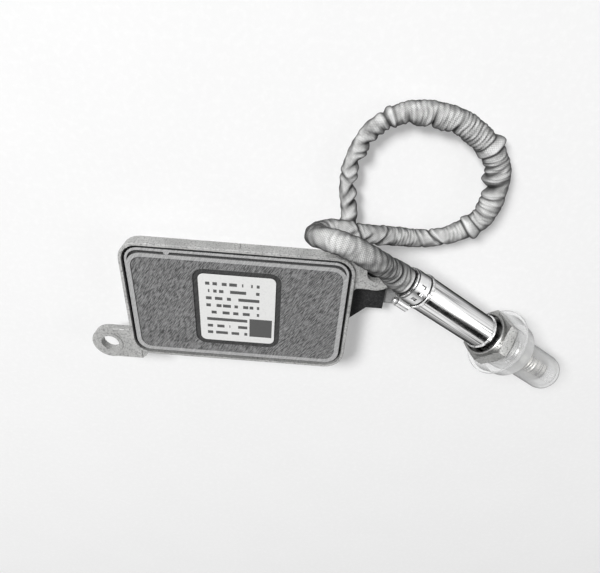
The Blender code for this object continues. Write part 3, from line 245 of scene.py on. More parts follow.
def grain_group():
    """Fine specks and slow clouds, for cast metal, moulded plastic, rubber and ceramic."""
    tree, given, out = new_group(
        "surface_grain",
        (("Vector", "Vector", None), ("Colour", "Color", (0.5, 0.5, 0.5, 1.0)),
         ("Speck", "Color", (0.3, 0.3, 0.3, 1.0)), ("Scale", "Float", 1500.0),
         ("Amount", "Float", 0.5), ("Roughness", "Float", 0.5)),
        (("Colour", "Color"), ("Roughness", "Float"), ("Height", "Float")))
    fine = put(tree, "ShaderNodeTexNoise", {"Vector": given["Vector"], "Scale": given["Scale"],
                                            "Detail": 4.0, "Roughness": 0.65}).outputs["Fac"]
    slow_scale = calc(tree, "MULTIPLY", given["Scale"], 0.06)
    slow = put(tree, "ShaderNodeTexNoise", {"Vector": given["Vector"], "Scale": slow_scale,
                                            "Detail": 3.0}).outputs["Fac"]
    specks = calc(tree, "MULTIPLY", spread(tree, fine, 0.48, 0.66), given["Amount"])
    speckled = tint(tree, specks, given["Colour"], given["Speck"])
    cloud = calc(tree, "MULTIPLY", spread(tree, slow, 0.35, 0.68), given["Amount"])
    clouded = tint(tree, calc(tree, "MULTIPLY", cloud, 0.45), speckled, given["Speck"])
    tree.links.new(clouded, out["Colour"])
    rough = calc(tree, "ADD", given["Roughness"], spread(tree, fine, 0.3, 0.7, -0.08, 0.1))
    tree.links.new(rough, out["Roughness"])
    height = calc(tree, "ADD", fine, calc(tree, "MULTIPLY", slow, 1.5))
    tree.links.new(height, out["Height"])
    return tree


def edge_tone_group():
    """Toned edges: the rounded edges show the edge tone in patches. It stands for scuffs on the steel and the
    connector, painted shade where a finish tones its edges darker, and a painted highlight on the lid.
    """
    tree, given, out = new_group(
        "edge_wear",
        (("Vector", "Vector", None), ("Edge", "Float", 0.0),
         ("Colour", "Color", (0.5, 0.5, 0.5, 1.0)), ("Worn", "Color", (0.8, 0.8, 0.8, 1.0)),
         ("Amount", "Float", 0.6)),
        (("Colour", "Color"),))
    patch = put(tree, "ShaderNodeTexNoise", {"Vector": given["Vector"], "Scale": 420.0,
                                             "Detail": 5.0, "Roughness": 0.6}).outputs["Fac"]
    mask = calc(tree, "MULTIPLY", given["Edge"], spread(tree, patch, 0.36, 0.58))
    mask = calc(tree, "MULTIPLY", mask, given["Amount"], clamp=True)
    tree.links.new(tint(tree, mask, given["Colour"], given["Worn"]), out["Colour"])
    return tree


def turned_group():
    """Fine lines left by turning round the given vector's Z, or by drawing along it."""
    tree, given, out = new_group(
        "turned_rings",
        (("Vector", "Vector", None), ("Colour", "Color", (0.5, 0.5, 0.5, 1.0)),
         ("Line", "Color", (0.3, 0.3, 0.3, 1.0)), ("Density", "Float", 3000.0),
         ("Across", "Float", 90.0), ("Amount", "Float", 0.4), ("Roughness", "Float", 0.3)),
        (("Colour", "Color"), ("Roughness", "Float"), ("Height", "Float")))
    apart = put(tree, "ShaderNodeCombineXYZ", {0: given["Across"], 1: given["Across"],
                                               2: given["Density"]})
    stretched = put(tree, "ShaderNodeVectorMath", {0: given["Vector"], 1: apart.outputs[0]},
                    operation="MULTIPLY").outputs[0]
    lines = put(tree, "ShaderNodeTexNoise", {"Vector": stretched, "Scale": 1.0, "Detail": 3.0,
                                             "Roughness": 0.7}).outputs["Fac"]
    blotch = put(tree, "ShaderNodeTexNoise", {"Vector": given["Vector"], "Scale": 130.0,
                                              "Detail": 4.0}).outputs["Fac"]
    drawn = calc(tree, "MULTIPLY", spread(tree, lines, 0.46, 0.64), given["Amount"])
    tree.links.new(tint(tree, drawn, given["Colour"], given["Line"]), out["Colour"])
    rough = calc(tree, "ADD", given["Roughness"], spread(tree, blotch, 0.3, 0.7, -0.07, 0.12))
    tree.links.new(rough, out["Roughness"])
    tree.links.new(lines, out["Height"])
    return tree


def weave_group():
    """Braided threads crossing at a slant, on a strip's own UV map counted in threads."""
    tree, given, out = new_group(
        "braided_threads",
        (("Vector", "Vector", None), ("Colour", "Color", (0.4, 0.4, 0.4, 1.0)),
         ("Gap", "Color", (0.1, 0.1, 0.1, 1.0))),
        (("Colour", "Color"), ("Roughness", "Float"), ("Height", "Float")))
    parts = put(tree, "ShaderNodeSeparateXYZ", {0: given["Vector"]}).outputs
    one = calc(tree, "ADD", parts[0], parts[1])
    two = calc(tree, "SUBTRACT", parts[0], parts[1])
    odd = calc(tree, "FLOORED_MODULO",
               calc(tree, "ADD", calc(tree, "FLOOR", one), calc(tree, "FLOOR", two)), 2.0)
    rise_one = calc(tree, "SINE", calc(tree, "MULTIPLY", calc(tree, "FRACT", one), math.pi))
    rise_two = calc(tree, "SINE", calc(tree, "MULTIPLY", calc(tree, "FRACT", two), math.pi))
    even = calc(tree, "SUBTRACT", 1.0, odd)
    rise = calc(tree, "ADD", calc(tree, "MULTIPLY", rise_one, odd),
                calc(tree, "MULTIPLY", rise_two, even))
    fibre = put(tree, "ShaderNodeTexNoise", {"Vector": given["Vector"], "Scale": 2.3,
                                             "Detail": 4.0, "Roughness": 0.7}).outputs["Fac"]
    fade = put(tree, "ShaderNodeTexNoise", {"Vector": given["Vector"], "Scale": 0.16,
                                            "Detail": 3.0}).outputs["Fac"]
    cover = calc(tree, "MULTIPLY", spread(tree, rise, 0.05, 0.55),
                 spread(tree, fibre, 0.25, 0.7, 0.55, 1.0))
    threads = tint(tree, cover, given["Gap"], given["Colour"])
    faded = tint(tree, spread(tree, fade, 0.42, 0.66, 0.0, 0.5), threads, given["Gap"])
    tree.links.new(faded, out["Colour"])
    tree.links.new(spread(tree, fibre, 0.2, 0.8, 0.48, 0.75), out["Roughness"])
    tree.links.new(calc(tree, "ADD", rise, calc(tree, "MULTIPLY", fibre, 0.6)), out["Height"])
    return tree


GROUPS = {}


def effect(tree, name, sockets):
    """Place one of the shared groups in a material."""
    return put(tree, "ShaderNodeGroup", sockets, node_tree=GROUPS[name]).outputs


def shade(colour):
    """A grey or a colour as four numbers."""
    return (colour, colour, colour, 1.0) if isinstance(colour, float) else tuple(colour)


def start_material(name, metallic=0.0, **settings):
    """A material with its Principled shader's plain values set on its own sockets."""
    made = bpy.data.materials.new(name)
    made.use_nodes = True
    shader = made.node_tree.nodes["Principled BSDF"]
    shader.inputs["Metallic"].default_value = metallic
    for key, value in settings.items():
        shader.inputs[key.replace("_", " ").title().replace("Ior", "IOR")].default_value = value
    return made, made.node_tree, shader


def feed(tree, shader, colour, roughness, height, depth):
    """Feed the shader its colour and roughness, and bumps from a height and a depth in mm."""
    made = put(tree, "ShaderNodeBump", {"Strength": 1.0, "Distance": depth * MM, "Height": height})
    tree.links.new(colour, shader.inputs["Base Color"])
    tree.links.new(roughness, shader.inputs["Roughness"])
    tree.links.new(made.outputs["Normal"], shader.inputs["Normal"])


def toned_edges(tree, place, colour, worn, amount):
    """The colour, with the edge tone in patches on the rounded edges: scuffs on some finishes, painted shade and
    painted highlight on others.
    """
    edge = put(tree, "ShaderNodeAttribute", attribute_name="edge_wear").outputs["Fac"]
    return effect(tree, "wear", {"Vector": place, "Edge": edge, "Colour": colour,
                                 "Worn": shade(worn), "Amount": amount})["Colour"]


def object_place(tree):
    """The Object coordinate."""
    return tree.nodes.new("ShaderNodeTexCoord").outputs["Object"]


def along_probe(tree):
    """The Object coordinate, turned so that its Z is the station along the probe."""
    turn = Matrix((PROBE_SIDE, -PROBE_UP, PROBE_AHEAD))
    shift = -(turn @ PROBE_REAR)
    made = put(tree, "ShaderNodeMapping", {"Vector": object_place(tree), "Location": shift,
                                           "Rotation": turn.to_euler("XYZ")}, vector_type="POINT")
    return made.outputs["Vector"]


def grained(name, colour, speck, scale, amount, roughness, metallic=0.0, depth=0.02,
            worn=None, wear=0.6, **settings):
    """A cast, moulded or pressed finish with specks, clouds and toned edges: scuffs on some finishes, painted
    shade on others.
    """
    made, tree, shader = start_material(name, metallic, **settings)
    place = object_place(tree)
    grain = effect(tree, "grain", {"Vector": place, "Colour": shade(colour), "Speck": shade(speck),
                                   "Scale": scale, "Amount": amount, "Roughness": roughness})
    top = grain["Colour"]
    if worn is not None:
        top = toned_edges(tree, place, top, worn, wear)
    feed(tree, shader, top, grain["Roughness"], grain["Height"], depth)
    return made


def turned_away(tree, start, full, low, high):
    """A value that goes from low to high where the surface turns away from the eye."""
    facing = put(tree, "ShaderNodeLayerWeight", {"Blend": 0.5}).outputs["Facing"]
    return spread(tree, facing, start, full, low, high)


def painted_rim_shade(tree, colour, amount, start, full):
    """Painted shade: the colour, darker where the surface turns away from the eye."""
    return tint(tree, turned_away(tree, start, full, 0.0, amount), colour, shade(0.03))


def lathed(name, colour, line, density, amount, roughness, worn=None, across=90.0):
    """Turned or drawn steel with fine lines round the probe's axis or along it, and painted shade along its
    outline.
    """
    made, tree, shader = start_material(name, 1.0, specular_tint=shade(0.12))
    place = along_probe(tree)
    rings = effect(tree, "turned", {"Vector": place, "Colour": shade(colour), "Line": shade(line),
                                    "Density": density, "Across": across, "Amount": amount,
                                    "Roughness": roughness})
    # Painted shade: the steel darkens where it turns away from the eye.
    top = painted_rim_shade(tree, rings["Colour"], 0.9, 0.45, 0.85)
    if worn is not None:
        top = toned_edges(tree, place, top, worn, 0.8)
    feed(tree, shader, top, rings["Roughness"], rings["Height"], 0.006)
    return made


def sleeve_textile():
    """Braided textile of the cable's sleeve, with painted highlights on its crests and painted shade in its folds
    and along its outline.
    """
    look = bpy.context.scene.sensor_cable
    made, tree, shader = start_material("sleeve_textile", specular_ior_level=0.22)
    uv = put(tree, "ShaderNodeUVMap", uv_map="UVMap").outputs["UV"]
    weave = effect(tree, "weave", {"Vector": uv, "Colour": look.colour, "Gap": look.dark})
    fold = put(tree, "ShaderNodeAttribute", attribute_name="fold").outputs["Fac"]
    crest = put(tree, "ShaderNodeAttribute", attribute_name="crest").outputs["Fac"]
    # Painted highlight: the crests of the sleeve's folds, rings and cuffs are made lighter.
    painted_highlight = tint(tree, calc(tree, "MULTIPLY", crest, 0.6), weave["Colour"], shade(0.95))
    # Painted shade: the sleeve's creases, ring valleys and cuff lines are made nearly black.
    fold_shaded = tint(tree, calc(tree, "MULTIPLY", fold, 0.95), painted_highlight, shade(0.02))
    # Painted shade: the sleeve darkens where it turns away from the eye.
    top = painted_rim_shade(tree, fold_shaded, 0.98, 0.12, 0.74)
    feed(tree, shader, top, weave["Roughness"], weave["Height"], 0.12)
    return made


def lid_plastic():
    """Dark moulded lid: slanting grain on its panel, painted highlight on its raised lip and border, painted shade
    in its channel and recesses.
    """
    look = bpy.context.scene.sensor_box
    made, tree, shader = start_material("dark_lid_plastic", specular_ior_level=0.2)
    place = object_place(tree)
    grain = effect(tree, "grain", {"Vector": place, "Colour": look.lid, "Speck": shade(0.42),
                                   "Scale": 1400.0, "Amount": 0.5, "Roughness": 0.5})
    turned = put(tree, "ShaderNodeMapping", {"Vector": place,
                                             "Rotation": (0.0, 0.0, -1.0)}).outputs["Vector"]
    slant = put(tree, "ShaderNodeMapping", {"Vector": turned,
                                            "Scale": (340.0, 2900.0, 340.0)}).outputs["Vector"]
    stroke = put(tree, "ShaderNodeTexNoise", {"Vector": slant, "Scale": 1.0, "Detail": 3.0,
                                              "Roughness": 0.6}).outputs["Fac"]
    streaked = tint(tree, spread(tree, stroke, 0.42, 0.6, 0.0, 0.9), grain["Colour"], shade(0.035))
    height = put(tree, "ShaderNodeSeparateXYZ", {0: place}).outputs[2]
    # Painted highlight: the raised lip and border are made lighter.
    raised = calc(tree, "MULTIPLY", spread(tree, height, LID_RAISED - LID_BLEND, LID_RAISED),
                  spread(tree, stroke, 0.3, 0.6, 0.9, 0.55))
    painted_highlight = tint(tree, raised, streaked, shade(0.55))
    # Painted shade: everything below the channel's height, the channel and the recesses, is made nearly black.
    sunk = spread(tree, height, LID_SUNK - LID_BLEND, LID_SUNK, 0.9, 0.0)
    channel = tint(tree, spread(tree, stroke, 0.4, 0.62), shade(0.006), shade(0.07))
    # Painted highlight: the lid's rounded edges are toned lighter.
    top = toned_edges(tree, place, tint(tree, sunk, painted_highlight, channel), 0.55, 0.7)
    feed(tree, shader, top, grain["Roughness"], stroke, 0.02)
    return made


def rectangle(tree, across, along, middle, half):
    """One inside a rectangle and nothing outside, from its middle and its half sizes."""
    return calc(tree, "MULTIPLY", calc(tree, "COMPARE", across, middle[0], half[0]),
                calc(tree, "COMPARE", along, middle[1], half[1]))


def label_film():
    """Pale film printed with rows of plain bars and one plain square."""
    look = bpy.context.scene.sensor_box
    made, tree, shader = start_material("label_film")
    place = object_place(tree)
    grain = effect(tree, "grain", {"Vector": place, "Colour": look.label, "Speck": shade(0.62),
                                   "Scale": 900.0, "Amount": 0.3, "Roughness": 0.42})
    parts = put(tree, "ShaderNodeSeparateXYZ", {0: place}).outputs
    across = calc(tree, "SUBTRACT", parts[0], LABEL_MIDDLE[0])
    along = calc(tree, "SUBTRACT", parts[1], LABEL_MIDDLE[1])
    rows = calc(tree, "DIVIDE", along, ROW_HEIGHT)
    bar = calc(tree, "COMPARE", calc(tree, "FRACT", rows), 0.5, 0.21)
    number = calc(tree, "FLOOR", rows)
    word = put(tree, "ShaderNodeCombineXYZ", {0: calc(tree, "MULTIPLY", across, 330.0),
                                              1: calc(tree, "MULTIPLY", number, 7.3)}).outputs[0]
    gaps = put(tree, "ShaderNodeTexNoise", {"Vector": word, "Scale": 1.0, "Detail": 0.0},
               noise_dimensions="2D").outputs["Fac"]
    solid = calc(tree, "GREATER_THAN", gaps, 0.46)
    inside = rectangle(tree, across, along, PRINT_MIDDLE, PRINT_HALF)
    bars = calc(tree, "MULTIPLY", calc(tree, "MULTIPLY", bar, solid), inside)
    square = rectangle(tree, across, along, SQUARE_MIDDLE, SQUARE_HALF)
    clear = calc(tree, "SUBTRACT", 1.0,
                 rectangle(tree, across, along, SQUARE_MIDDLE, CLEAR_HALF))
    ink = calc(tree, "MAXIMUM", calc(tree, "MULTIPLY", bars, clear), square)
    top = tint(tree, calc(tree, "MULTIPLY", ink, 0.94), grain["Colour"], shade(0.03))
    feed(tree, shader, top, grain["Roughness"], grain["Height"], 0.006)
    return made


def cap_plastic():
    """Pale, half clear moulded plastic of the transport cap, with painted shade along its outline."""
    look = bpy.context.scene.sensor_probe
    made, tree, shader = start_material("cap_plastic", ior=1.46)
    place = along_probe(tree)
    grain = effect(tree, "grain", {"Vector": place, "Colour": look.cap, "Speck": shade(0.8),
                                   "Scale": 700.0, "Amount": 0.35, "Roughness": 0.3})
    tree.links.new(turned_away(tree, 0.4, 0.92, 0.24, 0.97), shader.inputs["Alpha"])
    # Painted shade: the cap darkens where it turns away from the eye.
    top = painted_rim_shade(tree, grain["Colour"], 0.95, 0.6, 0.85)
    feed(tree, shader, top, grain["Roughness"], grain["Height"], 0.01)
    return made


def board_laminate():
    """Green circuit board with copper tracks under its lacquer."""
    made, tree, shader = start_material("board_laminate")
    place = object_place(tree)
    tracks = put(tree, "ShaderNodeTexBrick", {"Vector": place, "Scale": 220.0,
                                              "Color1": (0.015, 0.12, 0.05, 1.0),
                                              "Color2": (0.012, 0.10, 0.045, 1.0),
                                              "Mortar": (0.04, 0.26, 0.09, 1.0),
                                              "Mortar Size": 0.06}).outputs["Color"]
    grain = effect(tree, "grain", {"Vector": place, "Colour": tracks,
                                   "Speck": (0.01, 0.07, 0.03, 1.0), "Scale": 900.0,
                                   "Amount": 0.4, "Roughness": 0.35})
    feed(tree, shader, grain["Colour"], grain["Roughness"], grain["Height"], 0.01)
    return made


def make_finishes():
    """All materials by slot, and the shared groups that they use."""
    GROUPS.update(grain=grain_group(), wear=edge_tone_group(), turned=turned_group(),
                  weave=weave_group())
    box = bpy.context.scene.sensor_box
    probe = bpy.context.scene.sensor_probe
    return {
        # Painted shade: the cast base's rounded edges are toned almost black, standing in for the shade along its
        # outlines.
        "cast_aluminium": grained("cast_aluminium", box.cast, 0.16, 1300.0, 0.9, 0.5, 0.4, 0.08,
                                  worn=0.06, wear=2.0),
        "dark_lid_plastic": lid_plastic(),
        "black_sealant": grained("black_sealant", 0.008, 0.03, 900.0, 0.6, 0.6,
                                 specular_ior_level=0.1),
        "label_film": label_film(),
        "board_laminate": board_laminate(),
        "chip_resin": grained("chip_resin", 0.018, 0.04, 2600.0, 0.5, 0.5),
        "ferrite": grained("ferrite", 0.07, 0.14, 2000.0, 0.6, 0.65),
        "can_aluminium": grained("can_aluminium", 0.72, 0.55, 2400.0, 0.3, 0.28, 1.0, 0.004),
        "screw_steel": grained("screw_steel", 0.55, 0.3, 1800.0, 0.4, 0.3, 1.0, 0.006),
        "connector_plastic": grained("connector_plastic", box.shell, 0.05, 1700.0, 0.9, 0.55,
                                     worn=0.3, wear=0.8, specular_ior_level=0.12),
        # Painted shade: the collar's rounded edges are toned darker, standing in for the shade along its outline.
        "collar_plastic": grained("collar_plastic", 0.3, 0.14, 1500.0, 0.6, 0.45, worn=0.08),
        "tinned_brass": grained("tinned_brass", (0.72, 0.69, 0.6, 1.0), 0.5, 2000.0, 0.3, 0.3, 1.0,
                                0.004),
        "black_rubber": grained("black_rubber", 0.022, 0.06, 1500.0, 0.6, 0.7, depth=0.03),
        "wire_coating": grained("wire_coating", 0.42, 0.3, 1200.0, 0.4, 0.5),
        "sleeve_textile": sleeve_textile(),
        "band_steel": lathed("band_steel", 0.82, 0.5, 2600.0, 0.3, 0.32, worn=0.95),
        "tube_steel": lathed("tube_steel", probe.steel, 0.07, 14.0, 0.85, 0.14, worn=0.9,
                             across=800.0),
        # Painted shade: the nut's rounded edges are toned almost black, standing in for the shade along its
        # outlines.
        "nut_steel": grained("nut_steel", probe.nut, 0.12, 1500.0, 0.85, 0.34, 1.0, 0.02,
                             worn=0.015, wear=1.6),
        "shell_steel": lathed("shell_steel", (0.5, 0.49, 0.46, 1.0), 0.03, 700.0, 1.0, 0.35,
                              across=20.0),
        "ceramic": grained("ceramic", 0.80, 0.66, 1600.0, 0.4, 0.55),
        "packed_powder": grained("packed_powder", 0.62, 0.45, 2400.0, 0.7, 0.9, depth=0.06),
        "cap_plastic": cap_plastic(),
    }


FINISHES = {}


def dress(piece, body, slot, *nodes):
    """Give a piece its finish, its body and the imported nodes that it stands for."""
    piece.data.materials.clear()
    piece.data.materials.append(FINISHES[slot])
    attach(piece, body)
    if nodes:
        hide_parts(*nodes)


def link_mesh(name, bm, smooth=32.0):
    """Turn a bmesh into a linked object with smooth faces and sharp edges by angle."""
    mesh = bpy.data.meshes.new(name)
    bm.to_mesh(mesh)
    bm.free()
    mesh.shade_smooth()
    mesh.set_sharp_from_angle(angle=math.radians(smooth))
    piece = bpy.data.objects.new(name, mesh)
    bpy.context.scene.collection.objects.link(piece)
    return piece


def node_copy(node):
    """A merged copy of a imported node's mesh, with its flat faces joined."""
    bm = bmesh.new()
    bm.from_mesh(frame["nodes"][node].data)
    bmesh.ops.remove_doubles(bm, verts=bm.verts, dist=1e-6)
    bmesh.ops.dissolve_limit(bm, angle_limit=math.radians(0.7), verts=bm.verts, edges=bm.edges)
    return bm


def round_edges(bm, width, segments, angle):
    """Bevel the sharp edges and mark the new faces as the ones that take the edge tone."""
    worn = bm.loops.layers.float.new("edge_wear")
    sharp = [e for e in bm.edges if len(e.link_faces) == 2
             and e.calc_face_angle(0.0) > math.radians(angle)]
    made = bmesh.ops.bevel(bm, geom=sharp, offset=width, segments=segments, profile=0.5,
                           affect="EDGES", material=-1, clamp_overlap=True)
    for face in made["faces"]:
        for loop in face.loops:
            loop[worn] = 1.0


def edged(bm, node, name, body, slot, width, segments, angle):
    """A piece made from a mesh, with the real one's rounded edges."""
    round_edges(bm, width, segments, angle)
    piece = link_mesh(name, bm)
    piece.modifiers.new("Face normals", "WEIGHTED_NORMAL").keep_sharp = True
    dress(piece, body, slot, node)


def refined(node, name, body, slot, width, segments=2, angle=35.0):
    """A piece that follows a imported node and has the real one's rounded edges."""
    edged(node_copy(node), node, name, body, slot, width, segments, angle)


def station(point):
    """A point's station along the probe, and its distance from the axis."""
    away = point - PROBE_REAR
    along = away.dot(PROBE_AHEAD)
    return along, (away - PROBE_AHEAD * along).length


def smooth_route(points, first, last):
    """Places on a cubic spline through the points, with set directions at its two ends."""
    knots = np.concatenate([[0.0], np.cumsum(np.linalg.norm(np.diff(points, axis=0), axis=1))])
    gaps = np.diff(knots)
    count = len(points)
    system = np.zeros((count, count))
    target = np.zeros((count, 3))
    slopes = np.diff(points, axis=0) / gaps[:, None]
    system[0, :2] = 2 * gaps[0], gaps[0]
    system[-1, -2:] = gaps[-1], 2 * gaps[-1]
    target[0] = 6 * (slopes[0] - first)
    target[-1] = 6 * (last - slopes[-1])
    for i in range(1, count - 1):
        system[i, i - 1:i + 2] = gaps[i - 1], 2 * (gaps[i - 1] + gaps[i]), gaps[i]
        target[i] = 6 * (slopes[i] - slopes[i - 1])
    bends = np.linalg.solve(system, target)
    places = np.linspace(0.0, knots[-1], SPLINE_STEPS)
    i = np.clip(np.searchsorted(knots, places) - 1, 0, count - 2)
    after = (knots[i + 1] - places)[:, None]
    before = (places - knots[i])[:, None]
    gap = gaps[i][:, None]
    dense = (bends[i] * after ** 3 + bends[i + 1] * before ** 3) / (6 * gap)
    dense += (points[i] / gap - bends[i] * gap / 6) * after
    dense += (points[i + 1] / gap - bends[i + 1] * gap / 6) * before
    return dense


def even_steps(dense, count):
    """The same line with evenly spaced points, and its length."""
    run = np.concatenate([[0.0], np.cumsum(np.linalg.norm(np.diff(dense, axis=0), axis=1))])
    steps = np.linspace(0.0, run[-1], count)
    return np.stack([np.interp(steps, run, dense[:, k]) for k in range(3)], axis=1), run[-1]


# Cable shape: (place along the cable, radius on the bend's outer side, on its inner side), in mm
CABLE_RADII = (
    (0.0, 3.2, 3.2), (5.0, 3.2, 4.0), (9.0, 3.2, 4.2), (13.0, 3.0, 3.4), (19.0, 3.1, 3.7),
    (25.0, 3.2, 2.8), (29.0, 3.5, 3.3), (34.0, 3.3, 2.6), (39.0, 3.1, 3.8), (45.0, 3.3, 3.1),
    (49.0, 3.6, 3.6), (53.0, 3.5, 3.1), (58.0, 3.9, 3.5), (62.0, 4.1, 3.5), (66.5, 4.2, 5.0),
    (72.0, 4.3, 4.4), (76.5, 4.3, 5.2), (82.0, 4.5, 4.2), (88.0, 4.4, 4.9), (95.0, 4.3, 4.6),
    (98.0, 4.3, 4.2), (101.0, 4.8, 4.4), (106.0, 4.8, 4.2), (110.0, 4.9, 5.5), (114.0, 4.3, 4.8),
    (117.0, 4.1, 4.5), (122.0, 4.2, 5.2), (130.0, 4.7, 4.2), (138.0, 3.7, 4.5), (146.0, 3.6, 3.7),
    (155.0, 3.9, 3.7), (165.0, 3.7, 4.2), (178.0, 3.7, 4.4), (184.0, 3.7, 3.9), (190.0, 3.9, 3.9),
    (197.0, 4.3, 4.3), (215.0, 4.2, 4.2), (222.0, 4.5, 4.5), (236.0, 4.7, 4.7), (250.0, 4.8, 4.8),
    (255.0, 5.3, 5.3), (259.0, 6.0, 6.0), (267.0, 6.0, 6.0),
)
# Creases: (place, half width, depth, side, slant), all lengths in mm; side is 1 for the bend's
# inner side, -1 for its outer side and 0 for all round
CABLE_CREASES = (
    (9.0, 1.2, 0.9, 1, 0.6), (15.5, 1.2, 1.1, 1, 2.6), (21.5, 1.3, 1.2, 1, 3.6),
    (27.0, 0.7, 0.5, -1, -2.0), (32.5, 1.4, 1.2, 1, 2.8), (38.0, 0.6, 0.4, 1, 2.0),
    (42.0, 1.1, 0.9, 1, 1.8), (47.5, 0.9, 0.6, 1, 1.4), (51.0, 0.6, 0.35, 1, 0.8),
    (54.4, 0.6, 0.6, 0, 0.3), (62.0, 0.7, 0.5, 1, 0.4), (72.0, 0.8, 1.1, 1, -0.5),
    (81.5, 0.7, 0.8, 1, -0.8), (104.5, 0.7, 0.5, 1, 0.6), (107.0, 0.9, 0.8, 1, 1.6),
    (113.6, 1.5, 1.7, 1, 1.4), (119.0, 0.7, 0.4, 1, 0.8), (127.0, 0.6, 0.4, 1, 0.5),
    (149.0, 0.7, 0.7, 0, 3.4), (156.5, 0.5, 0.3, 0, 2.0), (174.0, 1.0, 1.1, -1, -3.6),
    (175.0, 0.5, 0.5, 0, -3.0), (181.0, 0.9, 1.0, -1, -3.2), (184.5, 0.6, 0.7, 0, 2.4),
    (188.0, 0.9, 1.0, -1, -3.2), (255.0, 0.8, 0.5, 0, 0.0), (265.6, 0.7, 0.8, 0, 0.0),
)
# Cuffs, where the sleeve is rolled over itself: (place of the open edge, length, height, flap),
# and the painted shadow line at each end: its distance past the open edge, and its width
CABLE_CUFFS = ((57.2, 2.6, 0.5, 0.0), (99.4, 4.2, 0.8, 1.2), (136.4, 4.2, 1.0, 0.6))
CUFF_LIP = 0.35
CUFF_LINE = 0.45
# Ring crinkles: (start, end, pitch, depth), and the length over which they begin and end
CABLE_RINGS = (
    (36.0, 54.0, 2.1, 0.12), (58.0, 81.0, 1.8, 0.24), (81.0, 96.5, 1.65, 0.40),
    (100.5, 112.0, 1.8, 0.34), (114.5, 132.0, 2.0, 0.26), (137.0, 146.0, 1.8, 0.2),
    (158.0, 171.0, 1.6, 0.22), (192.0, 215.0, 1.9, 0.08), (219.0, 231.0, 1.7, 0.18),
    (241.0, 254.0, 1.8, 0.20),
)
RING_FADE = 1.5


def cable_radius(place, angle, inner, depth):
    """The sleeve's radius in mm, the painted shade in its folds and the painted highlight on their crests."""
    marks, outside, inside = zip(*CABLE_RADII)
    share = (1.0 + inner) / 2
    radius = np.interp(place, marks, outside) * (1 - share)
    radius += np.interp(place, marks, inside) * share
    dark = np.zeros_like(radius)
    light = np.zeros_like(radius)
    for middle, width, drop, side, slant in CABLE_CREASES:
        reach = np.abs(place - slant * inner - middle) / width
        facing = 1.0 if side == 0 else np.clip(side * inner * 0.6 + 0.6, 0.0, 1.0)
        valley = np.exp(-reach ** 1.3) * facing
        ridge = np.exp(-((reach - 2.3) / 1.1) ** 2) * facing
        radius = radius + depth * drop * (0.3 * ridge - valley)
        # Painted shade in the crease's valley, painted highlight on its ridges
        dark = np.maximum(dark, min(drop * 1.8, 1.0) * valley)
        light = np.maximum(light, min(drop, 0.8) * ridge)
    for end, length, height, flap in CABLE_CUFFS:
        before = np.clip((end - place) / length, 0, 1)
        roll = np.where((before > 0) & (before < 1), np.sin(np.pi * before ** 0.55), 0)
        outer = np.clip(-inner, 0.0, 1.0) ** 5
        radius = radius + depth * roll * (height + flap * outer)
        # Painted highlight on the rolled cuff, painted shadow lines at its two ends
        light = np.maximum(light, roll ** 2)
        for line in (end + CUFF_LIP, end - length):
            shadow = np.exp(-((place - line) / CUFF_LINE) ** 2)
            dark = np.maximum(dark, shadow * min(height * 1.2, 1.0))
    for start, end, pitch, deep in CABLE_RINGS:
        fade = np.clip((place - start) / RING_FADE, 0, 1) * np.clip((end - place) / RING_FADE, 0, 1)
        wander = 0.28 * np.sin(2 * angle + place / 5.0) + 0.18 * np.sin(3 * angle - place / 3.1)
        wave = np.abs(np.sin(np.pi * (place + wander) / pitch)) ** 0.7
        patch = np.sin(angle * 3 + place * 1.3) * np.sin(place * 0.47 - angle)
        uneven = np.clip(0.65 + 0.5 * patch, 0, 1)
        radius = radius + depth * deep * fade * uneven * (wave - 0.65)
        strength = np.minimum(2.4 * deep, 1.0) * fade * uneven
        # Painted shade in the ring valleys, painted highlight on their crests
        dark = np.maximum(dark, strength * (1 - wave) ** 1.6)
        light = np.maximum(light, strength * np.clip(wave * 5 - 4, 0, 1))
    ripple = 0.10 * np.sin(5 * angle + place * 0.8) + 0.08 * np.sin(3 * angle - place * 1.7)
    return radius + depth * ripple, np.clip(dark, 0, 1), np.clip(light - dark, 0, 1)


